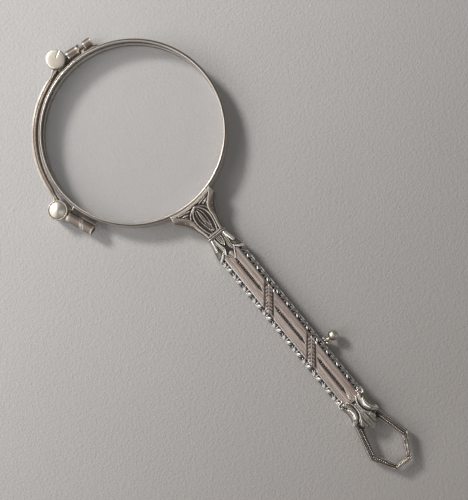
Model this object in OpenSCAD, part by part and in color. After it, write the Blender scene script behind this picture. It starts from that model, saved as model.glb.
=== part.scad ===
// Folding lorgnette, closed, lying on its back with the front lens up.
// The front lens is soldered to the handle. The rear lens folds behind it on a
// curved bridge with a hinge at each end, and a sliding catch in the handle holds
// it shut. X runs to the release knob's side, Y along the handle to the lenses.

/* [Rims and lenses] */
// Outer radius of each rim
rim_radius = 19.1; // [16:0.1:22]
// Width of a rim's bright front edge
rim_face = 0.6; // [0.5:0.05:0.9]
// Thickness of one rim, front to back
rim_thick = 2.3; // [2:0.1:3]
// Gap between the two closed rims
rim_gap = 0.2; // [0.15:0.05:0.4]
// Depth of the groove that holds a lens
groove_depth = 0.3; // [0.2:0.05:0.35]
// Thickness of a lens at its edge
lens_edge = 0.9; // [0.7:0.1:1.2]
// Height by which each lens face bulges
lens_rise = 0.25; // [0.15:0.05:0.4]

/* [Hinges] */
// Direction of the front rim's hinge from the lens centre, in degrees
front_hinge_angle = 201; // [190:1:215]
// Direction of the rear rim's hinge from the lens centre, in degrees
rear_hinge_angle = 83; // [70:1:95]
// Distance of a hinge pin outside the rim
hinge_standoff = 2.1; // [2:0.05:2.5]
// Height of a hinge pin off the plane between the rims
hinge_rise = 0.625; // [0.5:0.005:0.7]
// Outer radius of a hinge barrel
barrel_radius = 1.05; // [0.95:0.05:1.15]
// Radius of a hinge pin
pin_radius = 0.35; // [0.3:0.05:0.4]
// Wall left round the spring inside a barrel
barrel_wall = 0.25; // [0.2:0.05:0.3]
// Length of the bearing at each end of a barrel
bearing_length = 0.4; // [0.3:0.05:0.6]
// Thickness of the leaf that joins a barrel to its rim
leaf_thick = 0.6; // [0.4:0.05:0.7]
// Distance from a hinge's middle to its free end
knuckle_end = 2.8; // [2.4:0.1:3.4]
// Slant of the seam between the two knuckles
seam_slant = 0.67; // [0.4:0.01:0.8]
// Place of the seam along the hinge
seam_place = 0.13; // [-0.1:0.01:0.3]
// Wire radius of a hinge spring
hinge_wire = 0.08; // [0.06:0.01:0.09]
// Curls in a hinge spring
hinge_curls = 6; // [4:1:7]

/* [Bridge] */
// Distance from a hinge's middle to its boss
boss_back = 5.3; // [4.8:0.1:6]
// Radius of a boss
boss_radius = 2.05; // [1.8:0.05:2.2]
// Height of a boss with its cap and screw
boss_height = 4.4; // [3.8:0.1:4.6]
// Height of the domed cap on a boss
boss_dome = 0.5; // [0.3:0.05:0.7]
// Thickness of the slotted screw head on a boss
boss_screw_head = 0.35; // [0.25:0.05:0.5]
// Width of the curved bridge bar
bar_width = 1; // [0.8:0.05:1.2]
// Height of the bridge bar
bar_height = 2.4; // [1.8:0.1:3]
// Gap between the bridge bar and the rims
bar_gap = 0.8; // [0.5:0.05:1]

/* [Yoke] */
// Half width of the yoke across its tips
yoke_half = 5.2; // [4.6:0.1:6]
// Distance from the lens centre to the neck
neck_reach = 26.6; // [26:0.1:28]
// Half width of the yoke at the neck
neck_half = 2.05; // [1.9:0.05:2.4]
// Height of the yoke's raised edge over the rim
yoke_lip = 0.3; // [0.2:0.05:0.4]
// Width of the rim's face that the yoke's raised edge covers
yoke_lap = 0.1; // [0.05:0.05:0.2]
// Width of the raised borders
border = 0.35; // [0.25:0.05:0.5]
// Depth of the sunk ornament
relief = 0.18; // [0.1:0.01:0.2]
// Length of the neck band
band_length = 0.6; // [0.4:0.05:0.9]
// Thickness of the neck band
band_thick = 0.3; // [0.2:0.05:0.4]

/* [Handle] */
// Length of the handle's tube
tube_length = 38.6; // [35:0.2:42]
// Half width of the handle
handle_half = 2.95; // [2.7:0.05:3.3]
// Half width of the flat front and back faces
face_half = 1.95; // [1.7:0.05:2.2]
// Half height of the handle
handle_rise = 2.1; // [1.9:0.05:2.2]
// Height by which the bevelled edges drop
bevel_drop = 0.95; // [0.7:0.05:1.1]
// Height by which the front face is crowned
crown = 0.1; // [0.05:0.01:0.15]
// Wall of the handle's tube
wall = 0.4; // [0.3:0.05:0.5]
// Length of the flared upper collar
flare_length = 3.6; // [3.2:0.1:4.2]
// Reach of the upper collar's leaf over the tube
upper_leaf_reach = 2.2; // [1.8:0.1:2.6]
// Reach of the lower collar's leaf over the tube
lower_leaf_reach = 1.7; // [1.4:0.1:2.2]
// Width of the centre groove
groove_width = 0.42; // [0.3:0.02:0.6]
// Depth of the centre groove and of the foliate bands
groove_cut = 0.15; // [0.1:0.01:0.2]
// Length of a foliate band along the handle
leaf_band = 2.8; // [2:0.1:3.4]
// Slope of a foliate band over the face
leaf_band_rise = 4.6; // [3.6:0.1:5.2]
// Distance from the tube's top to the first foliate band
first_band = 9.7; // [8:0.1:11]
// Distance from one foliate band to the next
band_pitch = 13.2; // [12:0.1:14]

/* [Release] */
// Travel of the release knob
travel = 2.5; // [2:0.1:3]
// Distance from the tube's top to the knob
knob_reach = 26.3; // [25:0.1:27.5]
// Radius of the knob's ball
ball_radius = 1.1; // [0.9:0.05:1.3]
// Length of the knob's neck outside the handle
knob_neck = 1.45; // [1.2:0.05:1.8]
// Radius of the knob's stem
stem_radius = 0.35; // [0.25:0.05:0.4]
// Half width of the flat release rod
rod_half = 0.7; // [0.5:0.05:0.8]
// Thickness of the flat release rod
rod_thick = 0.6; // [0.5:0.05:0.8]
// Bite of the hook under the catch lug
hook_bite = 0.9; // [0.6:0.05:1.2]
// Length of the catch lug
lug_length = 1.8; // [1.5:0.1:2]
// Thickness of the catch lug
lug_thick = 0.6; // [0.5:0.05:0.7]
// Length of the slider block
block_length = 1.6; // [1.3:0.1:2]
// Length of the tail that guides the return spring
tail_reach = 7.8; // [7.5:0.1:8.2]
// Radius of the tail that guides the return spring
tail_radius = 0.45; // [0.4:0.05:0.5]
// Wire radius of the return spring
return_wire = 0.13; // [0.1:0.01:0.16]
// Curls in the return spring
return_curls = 8; // [6:1:9]
// Length of the return spring
return_length = 6.2; // [5.5:0.1:7]

/* [Loop] */
// Length of the lower collar below the tube
collar_length = 4; // [3.6:0.1:4.6]
// Half width of the lower collar's waist
waist_half = 2.6; // [2.4:0.05:2.8]
// Length of the shell ornament below the lower collar
shell_length = 2.7; // [2.2:0.1:3.2]
// Half width of the shell ornament
shell_half = 1.55; // [1.2:0.05:1.8]
// Radius of the scrolls on the lower collar
scroll_radius = 0.65; // [0.5:0.05:0.75]
// Length of the ribbon loop below the lower collar
loop_length = 12.25; // [11:0.05:14]
// Half width of the ribbon loop at its widest
loop_half = 4.8; // [4.2:0.1:5.4]
// Half width of the ribbon loop's straight end
loop_end_half = 1.9; // [1.4:0.1:2.4]
// Width of the ribbon loop's bar
loop_bar = 1.05; // [0.9:0.05:1.3]
// Thickness of the ribbon loop's bar
loop_thick = 1.5; // [1.2:0.1:1.8]

/* [Fits] */
// Gap at soldered and pressed joints
seat_gap = 0.01; // [0.01:0.01:0.02]
// Running clearance round a pin, rod or stem
run_gap = 0.04; // [0.03:0.01:0.06]
// Gap between parts that move past each other
move_gap = 0.1; // [0.08:0.01:0.14]
// Room round the rear rim where it swings past the yoke
swing_gap = 0.3; // [0.25:0.01:0.35]

/* [Hidden] */

$fn = 64;
big = 60;
silver = "silver";
dark_silver = "gray";
rose_silver = "rosybrown";

// Heights: the rear rim lies on z = 0 and the front rim on top of it.
mid_z = rim_thick + rim_gap / 2;
front_z = 2 * mid_z;
rim_inner = rim_radius - rim_face;
lens_radius = rim_inner + groove_depth - run_gap;

// Hinge places along the pin, from the hinge's middle to its free end.
reach = rim_radius + hinge_standoff;
barrel_start = boss_radius - boss_back + move_gap;
bore_radius = pin_radius + run_gap;
chamber_radius = barrel_radius - barrel_wall;
leaf_gap = barrel_radius + move_gap;
seam_inner = seam(-barrel_radius);
seam_outer = seam(barrel_radius);
pin_start = -boss_back + boss_radius / 2;
pin_end = knuckle_end - 0.4;
chamber_start = barrel_start + bearing_length;
chamber_end = seam_inner - bearing_length;

// Boss centres from the lens centre, for the box that the origin is centred on.
front_boss_at = boss_place(front_hinge_angle, -1);
rear_boss_at = boss_place(rear_hinge_angle, 1);
bar_radius = rim_radius + bar_gap + bar_width / 2;
boss_reach = norm(front_boss_at);

// Places along the handle, from the lens centre.
lug_end = -(rim_radius + lug_length);
neck_y = -neck_reach;
band_end = neck_y - band_length;
tube_top = band_end - flare_length;
tube_end = tube_top - tube_length;
knob_y = tube_top - knob_reach;
collar_end = tube_end - collar_length;
loop_end = collar_end - loop_length;
upper_leaf_tip = tube_top - upper_leaf_reach;
lower_leaf_tip = tube_end + lower_leaf_reach;
shell_end = collar_end - shell_length;

// Release: the rod lies on the plane between the rims, the hook's toe lies lower.
channel_half = rod_half + move_gap;
rod_top = mid_z + rod_thick / 2;
rod_low = mid_z - rod_thick / 2;
lug_low = rim_thick / 2 - 0.25;
toe_gap = 0.05;
toe_low = 0.3;
toe_top = lug_low - toe_gap;
toe_tip = lug_end + hook_bite;
hook_face = lug_end - move_gap;
hook_link = 1;
hook_tail = 4.2;
block_half = handle_half * 0.42;
block_rise = handle_rise * 0.48;
stem_in = -stem_radius / 2;
spring_top = knob_y - block_length / 2;
anchor_y = spring_top - return_length;
anchor_length = tail_reach - return_length - 0.4;
tail_end = spring_top - tail_reach;
stem_out = handle_half + knob_neck;
ball_x = stem_out + ball_radius * 0.85;
rosette_in = handle_half + move_gap;

x_least = min(front_boss_at[0] - boss_radius, -rim_radius);
y_most = max(rear_boss_at[1] + boss_radius, rim_radius);
centre = [-(x_least + rim_radius) / 2, -(y_most + loop_end) / 2, 0];

function seam(y) = seam_place + seam_slant * y;
function boss_place(angle, side) =
    [reach * cos(angle) - side * boss_back * sin(angle),
     reach * sin(angle) + side * boss_back * cos(angle)];
function bezier(a, b, c, t) = a * (1 - t) * (1 - t) + b * 2 * t * (1 - t) + c * t * t;
function mirrored(points) = concat(points, [for (i = [len(points) - 1:-1:0]) [-points[i][0], points[i][1]]]);

// Points of a coil round the z axis, and the tube of six sides along it.
function coil_point(r, pitch, k) = [r * cos(45 * k), r * sin(45 * k), pitch * k / 8];
function coil_ring(r, pitch, wire, k) = [for (j = [0:5])
    coil_point(r, pitch, k) + wire * [cos(60 * j) * cos(45 * k), cos(60 * j) * sin(45 * k), sin(60 * j)]];

module coil(r, wire, curls, length) {
    steps = curls * 8;
    pitch = (length - 2 * wire) / curls;
    points = [for (k = [0:steps]) each coil_ring(r, pitch, wire, k)];
    sides = [for (k = [0:steps - 1], j = [0:5])
        let (a = 6 * k + j, b = 6 * k + (j + 1) % 6)
        each [[a, b, b + 6], [a, b + 6, a + 6]]];
    ends = [[5, 4, 3, 2, 1, 0], [for (j = [0:5]) 6 * steps + j]];
    translate([0, 0, wire]) polyhedron(points, [for (f = concat(sides, ends)) [for (i = [len(f) - 1:-1:0]) f[i]]]);
}

// Frames: the lens centre, and each hinge's own frame with its boss at -x and the
// rim towards -y. The rear hinge is the front one turned over.
module at_centre() translate(centre) children();
module at_front_hinge() translate(centre + [0, 0, mid_z]) rotate([0, 0, front_hinge_angle - 90])
    mirror([1, 0, 0]) children();
module at_rear_hinge() translate(centre + [0, 0, mid_z]) rotate([0, 0, rear_hinge_angle - 90])
    mirror([0, 0, 1]) children();
module along_pin(x) translate([x, reach, hinge_rise]) rotate([0, 90, 0]) children();

// Rims and lenses
module rim_section() {
    corner = rim_face / 5;
    difference() {
        union() {
            translate([rim_inner, corner]) square([rim_face, rim_thick - 2 * corner]);
            translate([rim_inner + corner, 0]) square([rim_face - 2 * corner, rim_thick]);
            for (x = [rim_inner + corner, rim_radius - corner], z = [corner, rim_thick - corner])
                translate([x, z]) circle(corner, $fn = 32);
        }
        translate([rim_inner - 1, (rim_thick - lens_edge) / 2 - seat_gap])
            square([1 + groove_depth, lens_edge + 2 * seat_gap]);
    }
}

module rim() rotate_extrude($fn = 128) rim_section();

module lens() {
    steps = 8;
    free = rim_inner - 0.1;
    face = [for (i = [0:steps]) [free * i / steps, lens_edge / 2 + lens_rise * (1 - pow(i / steps, 2))]];
    half = concat(face, [[lens_radius, lens_edge / 2]]);
    back = [for (i = [len(half) - 1:-1:0]) [half[i][0], -half[i][1]]];
    translate([0, 0, rim_thick / 2]) rotate_extrude($fn = 128) polygon(concat(half, back));
}

module front_rim() color(silver) at_centre() translate([0, 0, mid_z + rim_gap / 2]) rim();
module rear_rim() color(silver) at_centre() rim();
module front_lens() color("lightcyan") at_centre() translate([0, 0, mid_z + rim_gap / 2]) lens();
module rear_lens() color("lightcyan") at_centre() lens();

// Hinges: a fixed barrel and leaf on the rim, a short knuckle on the bridge's pin.
// Above the pin the seam between them is slanted, and below it they are cut to
// facing cones, so that the slanted ends pass each other.
module barrel_side(at, side) {
    reach_out = barrel_radius * 2;
    translate([at, reach, hinge_rise]) {
        mirror([side < 0 ? 0 : 1, 0, 0]) rotate([0, -90, 0])
            cylinder(r1 = 0, r2 = big / seam_slant, h = big);
        linear_extrude(reach_out) polygon([[-seam_slant * reach_out, -reach_out],
            [seam_slant * reach_out, reach_out], [side * big, reach_out], [side * big, -reach_out]]);
    }
}

module hinge_leaf() {
    leaf_low = hinge_rise - leaf_thick * 0.7;
    leaf_from = rim_radius - rim_face;
    difference() {
        union() {
            intersection() {
                along_pin(barrel_start) cylinder(r = barrel_radius, h = seam_outer - barrel_start);
                barrel_side(seam_place, -1);
            }
            translate([barrel_start, leaf_from, leaf_low])
                cube([seam_inner - barrel_start, reach - barrel_radius / 2 - leaf_from, leaf_thick]);
            translate([barrel_start, leaf_from, leaf_low])
                cube([knuckle_end - barrel_start, reach - leaf_gap - leaf_from, leaf_thick]);
        }
        cylinder(r = rim_radius + seat_gap, h = big, center = true, $fn = 128);
        along_pin(-big / 2) cylinder(r = bore_radius, h = big);
        along_pin(chamber_start) cylinder(r = chamber_radius, h = chamber_end - chamber_start);
    }
}

module end_knuckle() {
    difference() {
        intersection() {
            along_pin(seam_inner) cylinder(r = barrel_radius, h = knuckle_end - seam_inner);
            barrel_side(seam_place + move_gap, 1);
        }
        along_pin(seam_inner) cylinder(r = pin_radius + seat_gap, h = pin_end + seat_gap - seam_inner);
    }
}

module hinge_pin() along_pin(pin_start) cylinder(r = pin_radius, h = pin_end - pin_start);

module hinge_spring() {
    coil_radius = (pin_radius + chamber_radius) / 2;
    length = chamber_end - chamber_start - 2 * move_gap;
    along_pin(chamber_start + move_gap) coil(coil_radius, hinge_wire, hinge_curls, length);
}

// Bridge: a boss at each hinge, closed by a domed cap and a slotted screw
boss_cap_low = boss_height / 2 - boss_dome;
boss_screw_top = -boss_height / 2 + boss_screw_head;

module boss() {
    difference() {
        translate([-boss_back, reach, boss_screw_top + seat_gap])
            cylinder(r = boss_radius, h = boss_cap_low - boss_screw_top - 2 * seat_gap);
        along_pin(pin_start - seat_gap) cylinder(r = pin_radius + seat_gap, h = boss_back);
        translate([-boss_back, reach, boss_screw_top]) cylinder(r = pin_radius + seat_gap, h = 0.6);
    }
}

module boss_cap() {
    rim_step = 0.12;
    dome_radius = (pow(boss_radius, 2) + pow(boss_dome - rim_step, 2)) / (2 * (boss_dome - rim_step));
    dome_steps = 8;
    dome_angle = asin(boss_radius / dome_radius);
    arc = [for (i = [0:dome_steps]) let (a = dome_angle * i / dome_steps)
        [dome_radius * sin(a), boss_dome - dome_radius * (1 - cos(a))]];
    translate([-boss_back, reach, boss_cap_low])
        rotate_extrude() polygon(concat(arc, [[boss_radius, 0], [0, 0]]));
}

module boss_screw() {
    slot_width = 0.3;
    slot_depth = boss_screw_head / 2;
    translate([-boss_back, reach, -boss_height / 2]) difference() {
        union() {
            cylinder(r = boss_radius - 0.08, h = boss_screw_head);
            cylinder(r = pin_radius, h = boss_screw_head + 0.5);
        }
        rotate([0, 0, 35]) translate([-boss_radius, -slot_width / 2, -seat_gap])
            cube([2 * boss_radius, slot_width, slot_depth + seat_gap]);
    }
}

module front_hinge_leaf() color(dark_silver) at_front_hinge() hinge_leaf();
module rear_hinge_leaf() color(dark_silver) at_rear_hinge() hinge_leaf();
module front_end_knuckle() color(silver) at_front_hinge() end_knuckle();
module rear_end_knuckle() color(silver) at_rear_hinge() end_knuckle();
module front_hinge_pin() color(dark_silver) at_front_hinge() hinge_pin();
module rear_hinge_pin() color(dark_silver) at_rear_hinge() hinge_pin();
module front_hinge_spring() color("steelblue") at_front_hinge() hinge_spring();
module rear_hinge_spring() color("steelblue") at_rear_hinge() hinge_spring();
module front_boss() color(silver) at_front_hinge() boss();
module rear_boss() color(silver) at_rear_hinge() boss();
module front_boss_cap() color("white") at_front_hinge() boss_cap();
module rear_boss_cap() color("white") at_rear_hinge() boss_cap();
module front_boss_screw() color("white") at_front_hinge() boss_screw();
module rear_boss_screw() color("white") at_rear_hinge() boss_screw();

// The bar follows the rims, then turns out and widens to meet each boss.
module bridge_bar() {
    flare = 13;
    waist = 9;
    from = atan2(rear_boss_at[1], rear_boss_at[0]);
    to = atan2(front_boss_at[1], front_boss_at[0]) + 360;
    steps = 36;
    angles = [for (i = [0:steps]) from + (to - from) * i / steps];
    function turn_out(a) = pow(max(0, 1 - min(a - from, to - a) / flare), 2);
    function slim(a) = 0.18 * exp(-pow((min(a - from, to - a) - waist) / 3, 2));
    function line(a) = bar_radius + (boss_reach - bar_radius) * turn_out(a);
    function half(a) = bar_width * (0.5 - slim(a) + 0.9 * pow(turn_out(a), 1.5));
    outer = [for (a = angles) (line(a) + half(a)) * [cos(a), sin(a)]];
    inner = [for (a = angles) (line(a) - half(a)) * [cos(a), sin(a)]];
    color(silver) at_centre() difference() {
        translate([0, 0, mid_z - bar_height / 2]) linear_extrude(bar_height)
            polygon(concat(outer, [for (i = [steps:-1:0]) inner[i]]));
        for (at = [front_boss_at, rear_boss_at])
            translate([at[0], at[1], 0]) cylinder(r = boss_radius + seat_gap, h = big);
    }
}

// Yoke: a hollow fan-shaped clasp with an almond ornament
module yoke_shape(inset) {
    tip = yoke_half - inset;
    neck = neck_half - inset;
    tip_y = -sqrt(pow(rim_radius + 1.6, 2) - pow(yoke_half, 2)) - inset / 2;
    side = [for (t = [0:0.1:1]) bezier([tip, tip_y], [neck + 0.75, tip_y - 2.2], [neck, neck_y + inset], t)];
    difference() {
        polygon(mirrored(concat([[tip * 0.9, -10], [tip - 0.2, tip_y + 1.2]], side)));
        circle(rim_radius - yoke_lap + inset, $fn = 128);
    }
}

module almond(length, half) {
    r = (pow(length / 2, 2) + pow(half, 2)) / (2 * half);
    intersection_for (side = [-1, 1]) translate([side * (r - half), 0]) circle(r);
}

module yoke_relief() {
    almond_length = neck_reach - rim_radius - 0.4;
    almond_half = 1.75;
    difference() {
        yoke_shape(border);
        translate([0, neck_y + almond_length / 2]) difference() {
            almond(almond_length, almond_half);
            almond(almond_length - 1.6, almond_half - 0.42);
        }
        translate([0, neck_y + almond_length / 2]) almond(almond_length - 2.6, almond_half - 0.75);
    }
}

module neck_sleeve(low, high) {
    sleeve_half = neck_half - band_thick / 2;
    translate([-sleeve_half, band_end, low]) cube([2 * sleeve_half, band_length + seat_gap, high - low]);
}

module rod_channel(low, high) {
    translate([-channel_half, tube_top - big, low]) cube([2 * channel_half, big + flare_length + 20, high - low]);
}

sleeve_low = 0.5;
sleeve_top = front_z - 0.55;

module yoke_front() {
    top = front_z + yoke_lip;
    color(silver) at_centre() difference() {
        union() {
            translate([0, 0, mid_z + seat_gap]) linear_extrude(top - mid_z - seat_gap) yoke_shape(0);
            neck_sleeve(mid_z + seat_gap, sleeve_top);
        }
        translate([0, 0, -big + front_z + seat_gap]) cylinder(r = rim_radius + seat_gap, h = big, $fn = 128);
        translate([0, 0, top - relief]) linear_extrude(big) yoke_relief();
        rod_channel(-1, rod_top + move_gap);
        yoke_mouth();
    }
}

// The mouth lets the edge of the rear rim swing away below the front rim.
module yoke_mouth() {
    mouth = 0.9;
    rotate([90, 0, 90]) translate([0, 0, -big / 2]) linear_extrude(big)
        polygon([[0, mid_z + mouth], [-rim_radius, mid_z + mouth * 0.7],
            [neck_y + 3.2, mid_z], [-rim_radius, mid_z - mouth * 0.7], [0, mid_z - mouth]]);
}

module yoke_back() {
    low = 0;
    color(silver) at_centre() difference() {
        union() {
            translate([0, 0, low]) linear_extrude(mid_z - seat_gap - low) yoke_shape(0);
            neck_sleeve(sleeve_low, mid_z - seat_gap);
        }
        cylinder(r = rim_radius + swing_gap, h = big, center = true, $fn = 128);
        translate([0, 0, low + relief - big]) linear_extrude(big) difference() {
            yoke_relief();
            square([2 * channel_half + 2 * border, big], center = true);
        }
        translate([-channel_half - 0.2, lug_end - move_gap, -1]) cube([2 * channel_half + 0.4, big, big]);
        translate([-channel_half, neck_y + 0.8, toe_low - move_gap]) cube([2 * channel_half, big, big]);
        rod_channel(rod_low - 0.75, big);
        yoke_mouth();
    }
}

module neck_band() {
    outer = neck_half + band_thick / 2;
    inner = neck_half - band_thick / 2 + seat_gap;
    low = 0.25;
    high = front_z + 0.05;
    bead = 0.25;
    color(silver) at_centre() translate([0, band_end, 0]) difference() {
        rotate([-90, 0, 0]) linear_extrude(band_length) union() {
            translate([-outer, -high + bead]) square([2 * outer, high - low - 2 * bead]);
            translate([-outer + bead, -high]) square([2 * outer - 2 * bead, high - low]);
            for (x = [-outer + bead, outer - bead], z = [low + bead, high - bead])
                translate([x, -z]) circle(bead, $fn = 32);
        }
        translate([-inner, -1, sleeve_low - seat_gap])
            cube([2 * inner, big, sleeve_top - sleeve_low + 2 * seat_gap]);
    }
}

// Handle: two pressed shells that meet on the plane between the rims
module tube_outline(shrink, front_crown) {
    half = handle_half - shrink;
    face = face_half - shrink * 0.4;
    rise = handle_rise - shrink;
    edge = rise - bevel_drop;
    polygon(mirrored([[0, rise], [face, rise - front_crown], [half, edge], [half, -edge], [face, -rise], [0, -rise]]));
}

module along_tube(from, to) {
    translate([0, from, mid_z]) rotate([90, 0, 0]) linear_extrude(from - to) children();
}

module tube_solid(from, to, grow) along_tube(from, to) tube_outline(-grow, crown);

module foliate_band(y) {
    polygon([[face_half, y], [face_half, y - leaf_band * 0.85],
        [-face_half, y - leaf_band_rise - leaf_band * 1.15], [-face_half, y - leaf_band_rise]]);
}

module centre_groove(from, to) translate([-groove_width / 2, to]) square([groove_width, from - to]);

module face_cuts() {
    land = 0.8;
    bands = [for (i = [0:1]) tube_top - first_band + 0.75 - i * band_pitch];
    slope = leaf_band_rise / (2 * face_half) * face_half;
    for (y = bands) foliate_band(y);
    centre_groove(tube_top - 2.6, bands[0] - slope + land);
    centre_groove(bands[0] - slope - leaf_band - land / 2, bands[1] - slope + land);
    centre_groove(bands[1] - slope - leaf_band - land / 2, lower_leaf_tip + 0.5);
}

module knob_slot() {
    half = stem_radius + move_gap;
    translate([0, knob_y - travel, mid_z - half]) cube([big, travel, 2 * half]);
    for (y = [knob_y, knob_y - travel]) translate([0, y, mid_z]) rotate([0, 90, 0]) cylinder(r = half, h = big);
}

module tube_bore(from, to, gap) along_tube(from, to) tube_outline(wall + gap, 0);

module tube_shell() {
    difference() {
        along_tube(tube_top, tube_end) tube_outline(0, crown);
        tube_bore(tube_top + 1, tube_end - 1, 0);
        knob_slot();
    }
}

module handle_front() {
    color(rose_silver) at_centre() difference() {
        tube_shell();
        translate([-big / 2, tube_end - 1, mid_z + seat_gap - big]) cube([big, tube_length + 2, big]);
        translate([0, 0, mid_z + handle_rise - crown - groove_cut]) linear_extrude(big) face_cuts();
    }
}

module handle_back() {
    seat_step = 0.05;
    color(rose_silver) at_centre() difference() {
        tube_shell();
        translate([-big / 2, tube_end - 1, mid_z - seat_gap]) cube([big, tube_length + 2, big]);
        for (y = [upper_leaf_tip - seat_step, lower_leaf_tip + seat_step - big])
            translate([-big / 2, y, -1]) cube([big, big, mid_z - handle_rise + seat_step + 1]);
    }
}

// Collars: leaf ornaments that wrap the two ends of the tube
module upper_leaf() {
    side = handle_half + 0.2;
    tip = upper_leaf_tip;
    reach_over = upper_leaf_reach;
    polygon(mirrored([[0, tip], [side * 0.14, tip + reach_over * 0.2], [side * 0.37, tip + reach_over * 0.52],
        [side * 0.34, tip + reach_over * 0.82], [side * 0.48, tip + reach_over * 0.9],
        [side * 0.7, tip + reach_over * 0.6], [side * 0.84, tip + reach_over * 0.42],
        [side * 0.96, tip + reach_over * 0.44], [side, tip + reach_over * 0.75],
        [side, band_end], [0, band_end]]));
}

module upper_collar() {
    flare_from = [neck_half, front_z / 2 - 0.25];
    color(silver) at_centre() difference() {
        intersection() {
            hull() {
                translate([-flare_from[0], band_end - 0.1, mid_z - flare_from[1]])
                    cube([2 * flare_from[0], 0.1 - seat_gap, 2 * flare_from[1]]);
                tube_solid(tube_top, tube_top - 0.1, 0.25);
                tube_solid(upper_leaf_tip + 0.1, upper_leaf_tip, 0.3);
            }
            linear_extrude(front_z) upper_leaf();
        }
        tube_solid(tube_top + seat_gap, tube_end, seat_gap);
        rod_channel(rod_low - 0.75, rod_top + move_gap);
    }
}

module scroll_strip() {
    scroll = [handle_half * 0.76, tube_end + lower_leaf_reach * 0.45];
    inner = [for (t = [0:0.125:1]) bezier([scroll[0] - scroll_radius, scroll[1]],
        [0, tube_end - collar_length * 0.1], [handle_half * 0.12, collar_end + collar_length / 3], t)];
    outer = [for (t = [0:0.125:1]) bezier([handle_half * 1.05, collar_end],
        [handle_half * 0.25, tube_end - collar_length / 2], [scroll[0] + scroll_radius, scroll[1]], t)];
    translate(scroll) circle(scroll_radius);
    polygon(concat(inner, [[handle_half * 0.45, collar_end - 0.4], [handle_half * 0.8, collar_end - 0.35]], outer));
}

module lower_leaf() {
    for (side = [0, 1]) mirror([side, 0]) scroll_strip();
    polygon(mirrored([[0, lower_leaf_tip], [handle_half * 0.2, tube_end + lower_leaf_reach * 0.35],
        [handle_half * 0.15, tube_end - collar_length / 2], [shell_half * 0.9, collar_end + collar_length * 0.05],
        [shell_half, collar_end - shell_length * 0.4], [shell_half * 0.55, collar_end - shell_length * 0.78],
        [0, shell_end]]));
}

module sheath_shape() {
    polygon(mirrored(concat([for (t = [0:0.125:1]) bezier([handle_half + 0.05, tube_end - seat_gap],
        [2 * waist_half - handle_half - 0.1, tube_end - collar_length / 2], [handle_half * 1.05, collar_end], t)],
        [[shell_half, collar_end - 0.2]])));
}

module lower_collar() {
    sheath_rise = handle_rise - 0.2;
    loop_room = mid_z - loop_thick / 2 - seat_gap;
    color(silver) at_centre() difference() {
        union() {
            linear_extrude(front_z) lower_leaf();
            translate([0, 0, mid_z - sheath_rise]) linear_extrude(2 * sheath_rise) sheath_shape();
        }
        tube_solid(big, tube_end, seat_gap);
        translate([0, 0, loop_room]) linear_extrude(loop_thick + 2 * seat_gap) loop_shape(seat_gap);
        translate([-big / 2, collar_end - big, loop_room])
            cube([big, big + seat_gap, loop_thick + 2 * seat_gap]);
    }
}

// Ribbon loop: a six-sided flat link, its narrow end held in the lower collar
module loop_shape(grow) {
    tang_half = waist_half * 0.8;
    polygon(mirrored([[tang_half + grow, collar_end + collar_length * 0.45 + grow],
        [tang_half + grow, collar_end + loop_bar / 2], [handle_half + grow, collar_end - 0.2],
        [loop_half + grow, loop_end + loop_length * 0.4], [loop_end_half + grow, loop_end - grow]]));
}

module loop_hole() {
    side = loop_bar * 1.4;
    polygon(mirrored([[handle_half - side * 0.85, collar_end - loop_bar * 1.8],
        [loop_half - side, loop_end + loop_length * 0.41], [loop_end_half * 0.7, loop_end + loop_bar]]));
}

module ribbon_loop() {
    color(silver) at_centre() translate([0, 0, mid_z - loop_thick / 2]) linear_extrude(loop_thick) difference() {
        loop_shape(0);
        loop_hole();
    }
}

// Catch and release
module catch_lug() {
    half = rod_half + move_gap / 2;
    color(dark_silver) at_centre() difference() {
        rotate([90, 0, 90]) translate([0, 0, -half]) linear_extrude(2 * half)
            polygon([[-rim_radius + rim_face, lug_low], [lug_end, lug_low], [lug_end, lug_low + lug_thick - 0.25],
                [lug_end + 0.3, lug_low + lug_thick], [-rim_radius + rim_face, lug_low + lug_thick]]);
        cylinder(r = rim_radius + seat_gap, h = big, center = true, $fn = 128);
    }
}

module catch_hook() {
    arm_top = rod_low - seat_gap;
    arm_low = arm_top - 0.55;
    color("dimgray") at_centre() rotate([90, 0, 90]) translate([0, 0, -rod_half]) linear_extrude(2 * rod_half)
        polygon([[toe_tip, toe_top], [hook_face, toe_top], [hook_face, arm_top], [hook_face - hook_tail, arm_top],
            [hook_face - hook_tail, arm_low], [hook_face - hook_link, arm_low], [hook_face - hook_link, toe_low],
            [toe_tip - hook_bite * 0.8, toe_low]]);
}

module release_rod() {
    rod_start = hook_face - 0.3;
    rod_end = spring_top + block_length + seat_gap;
    color("dimgray") at_centre() translate([-rod_half, rod_end, rod_low])
        cube([2 * rod_half, rod_start - rod_end, rod_thick]);
}

module slider_block() {
    color("dimgray") at_centre() difference() {
        union() {
            translate([-block_half, spring_top, mid_z - block_rise])
                cube([2 * block_half, block_length, 2 * block_rise]);
            translate([0, spring_top, mid_z]) rotate([90, 0, 0])
                cylinder(r = tail_radius, h = spring_top - tail_end);
        }
        translate([stem_in - seat_gap, knob_y, mid_z]) rotate([0, 90, 0])
            cylinder(r = stem_radius + seat_gap, h = big);
    }
}

module knob_stem() {
    color(silver) at_centre() translate([stem_in, knob_y, mid_z]) rotate([0, 90, 0])
        cylinder(r = stem_radius, h = ball_x - ball_radius * 0.6 - stem_in);
}

module knob_rosette() {
    petals = 5;
    petal_radius = 0.42;
    petal_ring = 0.55;
    length = 0.7;
    color(silver) at_centre() translate([rosette_in, knob_y, mid_z]) rotate([0, 90, 0]) difference() {
        union() {
            for (k = [0:petals - 1]) rotate([0, 0, 360 / petals * k]) translate([petal_ring, 0, 0])
                cylinder(r = petal_radius, h = length, $fn = 32);
            cylinder(r = petal_ring, h = length);
        }
        cylinder(r = stem_radius + seat_gap, h = big, center = true);
    }
}

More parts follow.
